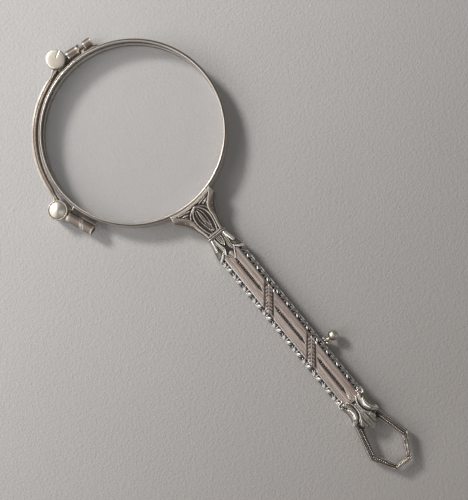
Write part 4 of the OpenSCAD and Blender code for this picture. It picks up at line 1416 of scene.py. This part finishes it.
@dataclass
class Handle(SubAssembly):
    """The two pressed shells of the tube, with their grooves, foliate bands and leafy side bevels."""

    top_y: float = TUBE_TOP
    end_y: float = TUBE_END
    half: float = 2.95
    face: float = TUBE_FACE
    rise: float = 2.1
    edge: float = 1.15
    crown: float = 0.1
    wall: float = 0.4
    fine: float = 0.066
    coarse: float = 0.11
    lining_step: int = 4
    upper_cover: float = -33.05
    lower_cover: float = -67.65
    travel: float = 2.5
    slot_half: float = 0.45
    bands: int = 2
    band_pitch: float = 13.2
    band_right: float = -39.75
    band_rise: float = 4.6
    band_width: float = 2.7
    bead_pitch: float = 0.48
    fan_pitch: float = 3.1

    def section(self, shrink: float, crown: float, steps: int) -> Array:
        """Returns half a tube section, from the left seam over the face to the right seam.

        Args:
            shrink: How far inside the outer surface it lies.
            crown: How far the face's edges drop.
            steps: The pieces in each rounded corner.

        Returns:
            The points as x and height above the seam.
        """
        half, rise = self.half - shrink, self.rise - shrink
        face, edge = self.face - shrink * 0.4, self.edge - shrink * 0.1
        soft = 0.16 if shrink == 0 else 0.0
        right = rounded([(0, rise, 0), (face, rise - crown, soft), (half, edge, soft * 0.6),
                         (half, 0.01, 0)], closed=False, steps=steps)
        left = mirrored(right[::-1])
        return np.vstack([left[:-1], right])

    @staticmethod
    def spaced(line: Array, spacing: float) -> tuple[Array, Array]:
        """Splits an open line evenly.

        Args:
            line: The line's points.
            spacing: The distance between the new points.

        Returns:
            The new points, and their distance along the line from its middle.
        """
        lengths = np.concatenate([[0], np.cumsum(np.linalg.norm(np.diff(line, axis=0), axis=1))])
        count = int(round(lengths[-1] / spacing / 4)) * 4
        along = np.linspace(0, lengths[-1], count + 1)
        points = np.stack([np.interp(along, lengths, line[:, 0]), np.interp(along, lengths, line[:, 1])], 1)
        return points, along - lengths[-1] / 2

    def slot_rise(self, y: Array) -> Array:
        """Gives how far the knob's slot cuts into the right seam at each place along the handle."""
        inside_slot = np.clip(np.minimum(KNOB_Y - y, y - KNOB_Y + self.travel), -self.slot_half, 0)
        return np.sqrt(np.maximum(self.slot_half**2 - inside_slot**2, 0))

    def band_line(self, number: int, offset: float) -> Array:
        """Returns the slanted line across the face of one foliate band, moved along by an offset."""
        start = self.band_right - number * self.band_pitch - offset
        end = start - self.band_rise - 0.25 * offset / self.band_width
        return np.array([(self.face, start), (-self.face, end)])

    def carve(self, across: Array, y: Array, fine: bool) -> Relief:
        """Cuts the handle's ornament on the unrolled surface.

        Args:
            across: The distance from the face's middle line, round the section.
            y: The place along the handle.
            fine: Whether all of the front's ornament is wanted.

        Returns:
            The carved relief.
        """
        relief = Relief(across, y)
        relief.over -= 0.13 * smoothstep(np.abs(across), self.face - 0.34, self.face + 0.06)
        self._bevels(relief)
        cut = 0.15
        stops = [self.top_y - 1.9]
        for number in range(self.bands):
            stops.append(self.band_line(number, 0).mean(0)[1] + 0.55)
            stops.append(self.band_line(number, self.band_width).mean(0)[1] - 0.35)
        stops.append(self.end_y + 2.0)
        relief.ground = -cut * 1.5
        for start, end in zip(stops[0::2], stops[1::2]):
            path = [(0.0, start - 0.5), (0.0, start - 1.1), (0.0, end + 1.1), (0.0, end + 0.5)]
            relief.groove(path[1:3], 0.3, cut * 1.5)
            relief.groove([(0.05, start), path[1]], 0.3, cut * 1.4, (0.2, 1.0))
            relief.groove([path[2], (-0.05, end)], 0.3, cut * 1.4, (1.0, 0.2))
            for x in (-0.42, 0.42):
                relief.groove([(x, start - 0.4), (x, end + 0.4)], 0.05, 0.03)
            relief.groove([(-1.12, start - 0.6), (-1.12, end - 0.4)], 0.06, 0.035)
            relief.groove([(1.25, start + 0.4), (1.25, end + 0.8)], 0.05, 0.02)
            if fine:
                for at in np.arange(start - 1.0, end + 0.9, -self.bead_pitch):
                    relief.bead((0.0, at), 0.14, -cut * 0.75)
        for number in range(self.bands):
            self._foliate(relief, number, cut)
        return relief

    def _foliate(self, relief: Relief, number: int, cut: float) -> None:
        """Carves one slanted band of leaves, with painted shade along its lower edge."""
        upper, lower = self.band_line(number, 0), self.band_line(number, self.band_width)
        relief.sink(np.vstack([upper, lower[::-1]]), cut, 0.09)
        relief.groove(upper, 0.15, 0.1)
        relief.groove(lower, 0.13, 0.05)
        # Painted shade: the band's lower edge is darkened over the wall there that faces the light.
        relief.shade_or_sheen(lower, 0.2, 0.75)
        middle = (upper + lower) / 2
        run = middle[1] - middle[0]
        length = float(np.linalg.norm(run))
        axis = run / length
        out = np.array([axis[1], -axis[0]])
        relief.ground = -cut * 1.05
        relief.rib([middle[0] + axis * 0.3, middle[1] - axis * 0.3], 0.12, -0.04)
        for step in np.arange(0.45, length - 0.5, 0.7):
            root = middle[0] + axis * step
            for side in (-1, 1):
                tip = root + axis * 0.72 + out * side * 0.68
                relief.leaf(root, tip, 0.23, -0.05, 0.08, 0.08 * side)
        heart = middle.mean(0)
        for angle in np.radians(np.arange(0, 360, 60)):
            petal = heart + 0.46 * np.array([math.cos(angle), math.sin(angle)])
            relief.leaf(heart, petal, 0.16, -0.02, 0.03)
        relief.bead((heart[0], heart[1]), 0.12, 0.0)

    def _bevels(self, relief: Relief) -> None:
        """Carves a row of leaf fans on both side bevels."""
        inner, outer = self.face + 0.1, self.face + 1.25
        cut = 0.2
        relief.ground = -cut
        for sign in (-1, 1):
            top, end = self.top_y + 0.1, self.end_y - 0.1
            loop = [(sign * x, y) for x, y in ((inner, top), (outer, top), (outer, end), (inner, end))]
            relief.sink(loop, cut, 0.06)
            for at in np.arange(self.top_y + 0.6, self.end_y - 1.5, -self.fan_pitch):
                for turn in (-1, 1):
                    root = (sign * (outer - 0.1), at + turn * 0.2)
                    relief.leaf(root, (sign * (inner + 0.1), at + turn * 1.15), 0.23, -0.01, 0.08)
                    relief.leaf(root, (sign * (inner + 0.62), at + turn * 1.5), 0.2, -0.01, 0.07)
                relief.leaf((sign * (outer - 0.1), at), (sign * inner, at), 0.22, 0.0, 0.08)
            relief.rib([(sign * outer, self.top_y), (sign * outer, self.end_y)], 0.12, 0.0)

    def shell(self, front: bool) -> Solid:
        """Builds one pressed shell.

        Args:
            front: Whether it is the front shell.

        Returns:
            The closed shell.
        """
        spacing = self.fine if front else self.coarse
        step = self.lining_step
        line, across = self.spaced(self.section(0, self.crown, 5), spacing)
        rows = int(round((self.top_y - self.end_y) / spacing / step)) * step
        y = np.linspace(self.top_y, self.end_y, rows + 1)
        ahead = np.gradient(line, axis=0)
        out = np.stack([-ahead[:, 1], ahead[:, 0]], 1) / np.linalg.norm(ahead, axis=1)[:, None]
        grid_across, grid_y = np.meshgrid(across, y)
        relief = self.carve(grid_across.ravel(), grid_y.ravel(), front)
        over = relief.over.reshape(grid_y.shape)
        for axis in (0, 1):
            over = over * 0.5 + (np.roll(over, 1, axis) + np.roll(over, -1, axis)) * 0.25
        relief.over = over.ravel()
        x = line[None, :, 0] + out[None, :, 0] * over
        z = line[None, :, 1] + out[None, :, 1] * over
        if not front:
            covered = (grid_y > self.upper_cover) | (grid_y < self.lower_cover)
            z = np.where(covered, np.minimum(z, self.rise - 0.05), z)
        beside_seam = (grid_across > 0) & (z < self.edge + 0.1)
        z = np.where(beside_seam, np.maximum(z, self.slot_rise(grid_y)), z)
        sign = 1 if front else -1
        outer = np.stack([x, grid_y, MID_Z + sign * z], 2)
        lining = self._lining(y[::step], (len(line) - 1) // step + 1, sign)
        return self._closed(outer, lining, self._patina(relief, grid_across), step)

    def _lining(self, y: Array, columns: int, sign: int) -> Array:
        """Gives the shell's plain inner surface, cut away at the knob's slot.

        Args:
            y: The places of its rows along the handle.
            columns: How many points it has from seam to seam.
            sign: 1 for the front shell and -1 for the back one.

        Returns:
            The points by row and column.
        """
        line, _ = self.spaced(self.section(self.wall, 0, 1), 1.0)
        wanted, given = np.linspace(0, 1, columns), np.linspace(0, 1, len(line))
        x, y = np.meshgrid(np.interp(wanted, given, line[:, 0]), y)
        z = np.broadcast_to(np.interp(wanted, given, line[:, 1]), x.shape)
        z = np.where((x > 0) & (z < self.edge), np.maximum(z, self.slot_rise(y)), z)
        return np.stack([x, y, MID_Z + sign * z], 2)

    def _patina(self, relief: Relief, across: Array) -> Array:
        """Gives the shell's patina, with the face's edges bared bright, partly as wear and partly as a
        painted highlight line.

        Args:
            relief: The shell's carved relief.
            across: The distance from the face's middle line, round the section.

        Returns:
            The patina at each point.
        """
        away = np.abs(across)
        # Painted highlight: a bare strip along each edge of the face, partly wear; the bevels are bared a
        # little for their lighter tone.
        edge = np.exp(-(((away - self.face + 0.1) / 0.14) ** 2))
        bare = np.where(away > self.face + 0.1, 0.4, edge)
        sunk = np.clip((-0.13 - relief.over.reshape(across.shape)) / 0.1, 0, 1)
        shade = np.where(away > self.face - 0.4, sunk, relief.shade().reshape(across.shape))
        return shade - bare * (shade < 0.4)

    @staticmethod
    def _closed(outer: Array, lining: Array, shade: Array, step: int) -> Solid:
        """Joins an outer sheet and a coarser lining into one closed shell.

        Args:
            outer: The outer sheet's points by row and column.
            lining: The lining's points, one for every few of the outer ones.
            shade: The patina on the outer sheet.
            step: How many outer places go to one of the lining's.

        Returns:
            The closed shell.
        """
        solid = Solid().grid(outer, shade).grid(lining, 0.5)
        rows, columns = outer.shape[:2]
        inner_rows, inner_columns = lining.shape[:2]
        start = rows * columns
        outside = np.arange(rows * columns).reshape(rows, columns)
        within = start + np.arange(inner_rows * inner_columns).reshape(inner_rows, inner_columns)
        for edge_out, edge_in in ((outside[0], within[0]), (outside[-1], within[-1]),
                                  (outside[:, 0], within[:, 0]), (outside[:, -1], within[:, -1])):
            for i in range(len(edge_in) - 1):
                run = edge_out[i * step:(i + 1) * step + 1].tolist()
                solid.faces.append(run + [int(edge_in[i + 1]), int(edge_in[i])])
        return solid

    def build(self) -> None:
        """Builds both shells and dresses the pieces inside the tube."""
        self.fit(self.shell(True), "handle_front_shell", Body.ROOT, Slot.BRUSHED, ["handle_front"], 55,
                 0.04)
        self.fit(self.shell(False), "handle_back_shell", Body.ROOT, Slot.BRUSHED, ["handle_back"], 55, 0.05)
        for node in ("upper_rod_guide", "lower_rod_guide", "spring_anchor"):
            self.dress(node, Slot.DARK)
        self.dress("return_spring", Slot.SPRING)


@dataclass
class Collars(SubAssembly):
    """The leaf collar at the handle's top and the scrolled one at its end."""

    side: float = 3.15
    seam_half: float = 2.93
    tube_rise: float = 2.05
    fine: float = 0.065
    coarse: float = 0.12
    leaf_tip: float = -33.0
    collar_end: float = -73.4

    def upper_outline(self) -> Array:
        """Returns the upper collar's outline with its lobes and middle leaf."""
        flare = bezier([(2.05, NECK_END), (2.35, -28.6), (2.75, -29.6), (3.05, -30.9), (self.side, -31.5)],
                       14)
        half = [(0, NECK_END), *map(tuple, flare), (3.15, -31.8), (3.02, -32.08), (2.65, -32.15),
                (2.2, -31.95), (1.75, -31.6), (1.4, -31.3), (1.18, -31.35), (1.1, -31.65), (1.12, -31.95),
                (0.9, -32.15), (0.55, -32.5), (0.22, -32.85), (0, self.leaf_tip)]
        return both_sides(half)

    def upper_base(self, plan: Plan) -> Array:
        """Gives the height of the collar's body over the seam, from the square neck to the tube."""
        t = np.clip((NECK_END - plan.y) / 3.6, 0, 1)
        face = 1.75 + 0.3 * t
        half = 2.05 + 1.1 * t
        rise = 2.15 + 0.2 * t
        edge = rise - 0.3 - 0.7 * t
        x = np.abs(plan.x)
        crowned = rise - 0.1 * (x / face) ** 2
        bevel = rise - 0.1 - (rise - 0.1 - edge) * (x - face) / np.maximum(half - face, 0.1)
        return np.where(x < face, crowned, bevel)

    def upper_carving(self, plan: Plan) -> Relief:
        """Carves the acanthus: side bulges, lobes, teardrop leaves and a middle leaf, and bares the bulges
        and lobe ends as painted highlights.
        """
        relief = Relief(plan.x, plan.y, -0.28)
        relief.over += relief.ground
        for flip in (False, True):
            side = partial(stroke, flip=flip)
            relief.rib(side([(1.5, -27.2), (1.78, -28.4), (2.08, -29.6)]), 0.56, 0.22, (0.8, 0.8), 0.8)
            relief.rib(side([(1.9, -29.2), (2.1, -30.3), (2.35, -31.2)]), 0.75, -0.19, (0.8, 1.0), 0.5)
            relief.rib(side([(1.35, -30.7), (2.05, -31.3), (2.7, -31.68)]), 0.32, 0.3, (0.5, 1.3), 0.8)
            relief.rib(side([(1.15, -27.4), (1.0, -28.8), (0.82, -30.0), (0.95, -30.8), (1.1, -31.1)]),
                       0.34, -0.06, (0.7, 0.9), 0.6)
            relief.rib(side([(0.98, -27.4), (0.82, -28.7), (0.52, -29.9), (0.68, -30.7), (1.05, -31.3)]),
                       0.12, 0.08)
            relief.rib(side([(1.35, -27.6), (1.28, -29.0), (1.2, -30.1), (1.3, -30.8), (1.12, -31.35)]),
                       0.11, 0.05)
            relief.rib(side([(0.48, -27.3), (0.42, -28.3), (0.25, -29.0), (0.02, -29.5)]), 0.13, 0.06)
            relief.rib(side([(1.0, -31.35), (0.5, -32.2), (0.02, -32.9)]), 0.16, 0.06)
            # Painted highlights: the side bulges and the lobe ends are bared bright, partly as wear on
            # their crests.
            relief.shade_or_sheen(side([(1.6, -27.6), (1.8, -28.5), (1.98, -29.3)]), 0.26, -0.9)
            relief.shade_or_sheen(side([(2.2, -31.45), (2.6, -31.65), (2.8, -31.72)]), 0.26, -1.0)
        relief.rib([(0, -27.2), (0, -29.2)], 0.36, -0.12, (1.0, 0.4), 0.6)
        relief.rib([(0, -31.7), (0, -32.6)], 0.6, -0.1, (1.0, 0.4), 0.5)
        relief.groove([(0, -27.2), (0, -28.4)], 0.1, 0.1, (1.0, 0.4))
        relief.over = plan.softened(relief.over)
        return relief

    def upper(self, front: bool) -> Solid:
        """Builds one half of the upper collar.

        Args:
            front: Whether it is the front half.

        Returns:
            The closed half.
        """
        plan = Plan(self.upper_outline(), spacing=self.fine if front else self.coarse)
        relief = self.upper_carving(plan)
        height = self.upper_base(plan) + (relief.over + 0.05) - plan.edge_drop(0.2)
        height = np.clip(height, 0.2, MID_Z)
        x = np.abs(plan.x)
        tube = np.where(x < TUBE_FACE, self.tube_rise, self.tube_rise - (x - TUBE_FACE) * 0.9)
        channel = np.where(x < CHANNEL_HALF, ROD_CHANNEL if front else HOOK_CHANNEL, 0.0)
        inner = np.where(plan.y > TUBE_TOP + 0.02, channel, np.maximum(tube - 0.1, 0.0))
        inner = np.where(x > self.seam_half, 0.0, inner)
        sign = 1 if front else -1
        return Solid().plate(plan, MID_Z + sign * height, MID_Z + sign * inner,
                             relief.shade(-0.06, 0.2, 0.1))

    def lower_outline(self) -> Array:
        """Returns the scrolled plate's outline from its leaf tip to the shell's point."""
        scroll = arc((2.38, -68.72), 0.74, 195, -80, 18)
        half = [(0, -67.7), (0.28, -68.0), (0.5, -68.4), (0.8, -68.65), (1.2, -68.78), *map(tuple, scroll),
                (2.3, -69.75), (2.08, -70.2), (2.02, -70.9), (2.1, -71.7), (2.35, -72.4), (2.75, -72.9),
                (3.13, -73.25), (3.13, -73.55), (2.8, -73.75), (2.2, -73.75), (1.85, -73.95), (1.74, -74.4),
                (1.4, -74.9), (0.95, -75.4), (0.45, -75.88), (0, -76.1)]
        return both_sides(half)

    def lower_carving(self, plan: Plan) -> Relief:
        """Carves the two scrolls, their ribbed strips and the fan of the shell, with a painted highlight
        bared on each wing.
        """
        relief = Relief(plan.x, plan.y, -0.32)
        relief.over += relief.ground
        for flip in (False, True):
            side = partial(stroke, flip=flip)
            relief.rib(side([(1.85, -69.0), (1.35, -69.8), (1.22, -70.9), (1.45, -72.0), (2.0, -72.8),
                             (2.7, -73.3)]), 0.85, -0.06, (0.5, 0.5), 0.5)
            relief.bead(((-1 if flip else 1) * 2.35, -68.75), 0.6, -0.12)
            relief.rib(side([(1.75, -70.2), (1.5, -71.3), (1.85, -72.4)]), 0.5, 0.16, (0.8, 0.9), 0.8)
            relief.groove(side([(1.6, -69.3), (1.15, -70.1), (1.02, -71.1), (1.25, -72.2), (1.75, -72.95)]),
                          0.08, 0.1)
            relief.rib(side([(1.25, -68.75), (0.75, -69.4), (0.44, -70.2), (0.36, -71.1), (0.5, -72.0),
                             (0.9, -72.75), (1.45, -73.25)]), 0.22, 0.08, (1.1, 1.0), 0.8)
            relief.rib(side([(2.15, -69.6), (2.0, -70.2), (1.96, -71.0), (2.12, -71.9), (2.5, -72.6),
                             (3.0, -73.3)]), 0.19, 0.14, (0.5, 1.7), 0.8)
            relief.rib(side([(0.9, -69.3), (1.05, -68.8), (1.4, -68.4), (1.95, -68.15), (2.5, -68.2),
                             (2.87, -68.5), (2.85, -68.95), (2.5, -69.15)]), 0.36, 0.24, (0.45, 0.9), 0.8)
            relief.rib(side([(0.22, -71.9), (0.34, -73.8), (0.2, -75.9)]), 0.36, -0.02, (0.5, 1.0), 0.8)
            relief.rib(side([(0.5, -72.3), (0.95, -73.5), (0.98, -74.9)]), 0.4, 0.0, (0.5, 1.0), 0.8)
            relief.rib(side([(1.05, -73.3), (1.45, -73.8), (1.5, -74.3)]), 0.42, 0.12, (0.6, 1.0), 0.8)
            # Painted highlight: a patch on each wing's bulge is bared bright, partly as wear.
            relief.shade_or_sheen(side([(1.6, -70.8), (1.4, -71.4), (1.6, -72.2)]), 0.3, -0.8)
        relief.rib([(0, -70.2), (0, -72.5)], 0.4, -0.1, (0.6, 1.0), 0.5)
        relief.rib([(0, -72.2), (0, -75.8)], 1.4, -0.12, (0.6, 0.7), 0.4)
        relief.leaf((0, -69.3), (0, -67.7), 0.42, 0.04, 0.08)
        relief.over = plan.softened(relief.over)
        return relief

    def lower_plate(self, front: bool) -> Solid:
        """Builds one face of the lower collar.

        Args:
            front: Whether it is the front face.

        Returns:
            The closed plate.
        """
        plan = Plan(self.lower_outline(), spacing=self.fine if front else self.coarse)
        relief = self.lower_carving(plan)
        fall = 0.3 * np.clip((np.abs(plan.x) - 1.2) / 2, 0, 1) ** 1.5
        fall += 0.85 * smoothstep(-plan.y, 73.6, 76.2)
        limit = MID_Z if front else MID_Z - 0.03
        height = np.minimum(2.3 - fall + relief.over - plan.edge_drop(0.18), limit)
        inner = np.where((plan.y > TUBE_END) & (np.abs(plan.x) < TUBE_FACE), 1.95, 1.0)
        inner = np.where(plan.y < self.collar_end, 0.77, inner)
        inner = np.minimum(inner, height - 0.15)
        sign = 1 if front else -1
        shade = relief.shade(-0.08, 0.25, 0.1) + 0.2 * smoothstep(-plan.y, 71.5, 73)
        return Solid().plate(plan, MID_Z + sign * height, MID_Z + sign * inner, shade)

    def sheath(self) -> Solid:
        """Builds the waisted sheath between the two scrolled plates, with a groove along each side."""
        edge = bezier([(3.0, TUBE_END - 0.01), (2.15, -71.4), (3.1, self.collar_end)], 26)
        rows = []
        thick = 1.95
        angles = np.linspace(0, 2 * np.pi, 56, endpoint=False)
        for half, y in edge:
            x = half * np.sign(np.cos(angles)) * np.abs(np.cos(angles)) ** 0.8
            z = thick * np.sign(np.sin(angles)) * np.abs(np.sin(angles)) ** 0.8
            notch = 1 - 0.05 * np.exp(-((z / 0.2) ** 2)) * (np.abs(x) > half * 0.9)
            rows.append(np.stack([x * notch, np.full(len(x), y), MID_Z + z], 1))
        return Solid().grid(np.array(rows), 0.25, wrap=(False, True), caps=True)

    def build(self) -> None:
        """Builds the two collars."""
        for front, side in ((True, "front"), (False, "back")):
            for node, solid in (("upper_collar", self.upper(front)),
                                ("lower_collar", self.lower_plate(front))):
                self.fit(solid, f"{node}_{side}", Body.ROOT, Slot.POLISHED, [node], 55)
        self.fit(self.sheath(), "lower_collar_sheath", Body.ROOT, Slot.AGED, ["lower_collar"])


@dataclass
class RibbonLoop(SubAssembly):
    """The flat six-sided loop, with engraved bars and a beaded inner edge."""

    low: float = 1.65
    high: float = 3.15
    top_y: float = -73.6
    ground: float = -0.16
    wide: Point = (4.8, -80.75)
    end: Point = (1.9, -85.65)
    hole_top: Point = (1.70, -75.29)
    hole_wide: Point = (3.33, -80.63)
    hole_end: Point = (1.33, -84.6)

    def carving(self, plan: Plan) -> Relief:
        """Raises two bright lines along the bars, with beads inside them on the upper ones."""
        relief = Relief(plan.x, plan.y, self.ground)
        outer = plan.edges[0]
        depth, _ = distance_along(plan.x, plan.y, np.vstack([outer, outer[:1]]))
        relief.over += self.ground
        for at, half, top in ((0.24, 0.14, 0.1), (0.56, 0.09, 0.0)):
            shape = np.clip(1 - ((depth - at) / half) ** 2, 0, 1) ** 0.8
            relief.over = np.maximum(relief.over, self.ground + (top - self.ground) * shape)
        start = np.array([2.5, -74.3])
        finish = np.array([4.08, -80.65])
        run = (finish - start) / np.linalg.norm(finish - start)
        out = np.array([-run[1], run[0]])
        for sign in (-1, 1):
            for step in np.arange(0.6, 6.2, 0.36):
                at = start + run * step - out * (0.3 + 0.05 * step / 6)
                relief.bead((sign * at[0], at[1]), 0.14, 0.02)
            lower = np.array([self.wide, self.end]) * np.array([0.82, 1.0]) + np.array([0.0, 0.45])
            for share in np.linspace(0.08, 0.92, 12):
                at = lower[0] + (lower[1] - lower[0]) * share
                relief.bead((sign * at[0], at[1]), 0.12, 0.0)
        for x in np.arange(-1.4, 1.5, 0.35):
            relief.bead((x, -84.95), 0.12, 0.0)
        return relief

    def build(self) -> None:
        """Builds the loop."""
        tang = rounded([(2.08, -71.7, 0.1), (2.08, -72.9, 0.1), (2.95, self.top_y, 0.15),
                        (*self.wide, 0.35), (*self.end, 0.3), (0, self.end[1], 0)], closed=False)
        outline = both_sides([(0, -71.6), *map(tuple, tang)])
        right = [(*self.hole_top, 0.15), (*self.hole_wide, 0.3), (*self.hole_end, 0.25)]
        hole = rounded(right + [(-x, y, radius) for x, y, radius in right[::-1]])
        plan = Plan(outline, [hole], spacing=0.1)
        relief = self.carving(plan)
        drop = plan.edge_drop(0.3)
        back = self.low + plan.edge_drop(0.15)
        # Painted shade: the rounded-off edges are tarnished darker where they turn down.
        shade = np.clip(relief.shade(-0.02, 0.13, 0.0) + 0.7 * smoothstep(drop, 0.1, 0.25), -1, 1)
        solid = Solid().plate(plan, self.high - 0.1 - drop + relief.over, back, shade, 0.15)
        self.fit(solid, "ribbon_loop_link", Body.ROOT, Slot.AGED, ["ribbon_loop"], 50)


@dataclass
class Release(SubAssembly):
    """The knob with its petalled collar and the pieces of the catch behind it."""

    ball_x: float = 5.335
    ball: float = 1.1
    rosette_from: float = 3.05
    rosette_to: float = 3.75

    def knob(self) -> Solid:
        """Builds the turned ball with a fillet at its neck and a small flat at its end."""
        r = self.ball
        start = math.asin(0.36 / r)
        ball = [(r * math.sin(a), -r * math.cos(a)) for a in np.linspace(start, math.pi - 0.16, 30)]
        neck = [(0.0, -r * 0.97), (0.34, -r * 0.97)]
        profile = np.array(neck + ball + [(0.0, r * 0.985)])
        return Solid().lathe(profile, (self.ball_x, KNOB_Y, MID_Z), 56, "x")

    def rosette(self) -> Solid:
        """Builds the collar of five beads round the stem."""
        along = np.linspace(0, 1, 22)
        angles = np.linspace(0, 2 * np.pi, 100, endpoint=False)
        petals = 0.5 + 0.47 * np.abs(np.cos(2.5 * angles)) ** 0.7
        swell = np.sin(np.pi * (0.06 + 0.88 * along)) ** 0.5
        core = 0.36 + 0.12 * swell
        radius = core[:, None] + (petals[None, :] - 0.4) * swell[:, None]
        x = self.rosette_from + along * (self.rosette_to - self.rosette_from)
        surface = np.stack([np.broadcast_to(x[:, None], radius.shape), KNOB_Y + radius * np.cos(angles),
                            MID_Z + radius * np.sin(angles)], 2)
        shade = np.clip(1.1 - radius * 1.5, 0, 1)
        return Solid().grid(surface, shade, wrap=(False, True), caps=True)

    def build(self) -> None:
        """Builds the knob and dresses the rest of the catch."""
        self.fit(self.knob(), "release_knob_ball", Body.RELEASE, Slot.POLISHED, ["release_knob"])
        self.fit(self.rosette(), "knob_rosette_petals", Body.RELEASE, Slot.POLISHED, ["knob_rosette"], 60)
        self.dress("knob_stem", Slot.POLISHED)
        for node in ("release_rod", "catch_hook", "slider_block", "catch_lug"):
            self.dress(node, Slot.DARK)


@dataclass
class Studio:
    """The floor, the soft lamps and the camera."""

    origin: Array
    camera_distance: float = 170.0
    camera_tilt: float = 3.6
    camera_lens: float = 65.7
    view: tuple[float, float, float] = (0.78, -31.5, 4.8)
    picture_right: Point = (0.773, -0.634)
    floor_half: float = 900.0
    floor_z: float = -0.02

    def floor(self) -> None:
        """Lays the pale floor under the object."""
        steps = np.linspace(-self.floor_half, self.floor_half, 25)
        x, y = np.meshgrid(steps, steps)
        z = np.full(x.shape, self.floor_z)
        mesh = bpy.data.meshes.new("studio_floor")
        sheet = Solid().grid(np.stack([x, y, z], 2))
        mesh.from_pydata((np.vstack(sheet.points) * MM).tolist(), [], sheet.faces)
        piece = new_object("studio_floor", mesh)
        piece.data.materials.append(FloorFinish().build())

    def lamp(self, name: str, towards: Sequence[float], distance: float, size: float, power: float,
             colour: tuple[float, float, float] = (1, 1, 1)) -> None:
        """Hangs one soft round lamp that looks at the object.

        Args:
            name: The lamp's name.
            towards: The direction from the object to the lamp.
            distance: Its distance in metres.
            size: Its width in metres.
            power: Its power in watts.
            colour: Its colour.
        """
        data = bpy.data.lights.new(name, "AREA")
        data.shape = "DISK"
        data.size = size
        data.energy = power
        data.color = colour
        lamp = new_object(name, data)
        direction = Vector(towards).normalized()
        middle = Vector((np.array(self.view) + self.origin) * MM)
        lamp.location = middle + direction * distance
        lamp.rotation_euler = direction.to_track_quat("Z", "Y").to_euler()

    def light(self) -> None:
        """Hangs the lamps and sets the even light of the room."""
        self.lamp("key_lamp", (-0.18, 0.745, 0.643), 0.55, 0.13, 2.15, (1.0, 0.985, 0.965))
        self.lamp("soft_panel", (-0.62, 0.38, 0.69), 0.5, 0.4, 0.95)
        self.lamp("top_panel", (0.0, -0.17, 0.985), 0.5, 0.2, 0.17)
        self.lamp("side_panel", (-0.98, -0.1, 0.2), 0.5, 0.3, 0.45)
        self.lamp("low_panel", (0.5, -0.8, 0.35), 0.5, 0.35, 0.12)
        world = bpy.data.worlds.new("studio_room")
        bpy.context.scene.world = world
        world.use_nodes = True
        room = world.node_tree.nodes["Background"]
        room.inputs["Color"].default_value = (1.0, 0.985, 0.97, 1.0)
        room.inputs["Strength"].default_value = 0.18

    def camera(self) -> None:
        """Sets the camera over the handle, looking down as the photograph does."""
        tilt = math.radians(self.camera_tilt)
        back = Vector((0, -math.sin(tilt), math.cos(tilt)))
        up_handle = Vector((0, math.cos(tilt), math.sin(tilt)))
        right_share, up_share = self.picture_right
        right = (Vector((1, 0, 0)) * right_share + up_handle * up_share).normalized()
        up = back.cross(right)
        data = bpy.data.cameras.new("photo_camera")
        data.sensor_fit = "HORIZONTAL"
        data.sensor_width = 36
        data.lens = self.camera_lens
        data.clip_start = 0.005
        data.clip_end = 5
        camera = new_object("photo_camera", data)
        middle = Vector((np.array(self.view) + self.origin) * MM)
        turn = Matrix((right, up, back)).transposed().to_4x4()
        camera.matrix_world = Matrix.Translation(middle + back * self.camera_distance * MM) @ turn
        bpy.context.scene.camera = camera

    def build(self) -> None:
        """Sets up the whole studio."""
        self.camera()
        self.floor()
        self.light()
        bpy.context.scene.view_settings.view_transform = "Standard"


def main() -> None:
    """Builds every sub-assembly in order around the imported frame."""
    logging.basicConfig(level=logging.INFO, format="%(name)s %(message)s")
    low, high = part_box("front_lens")
    middle = (np.array(low) + np.array(high)) / 2 / MM
    origin = np.array([middle[0], middle[1], 0.0])
    Studio(origin).build()
    finishes = Finishes()
    for assembly in (Lenses, Bridge, HingeBarrels, Yoke, Handle, Collars, RibbonLoop, Release):
        assembly(origin, finishes).build()


if __name__ == "__main__":
    main()
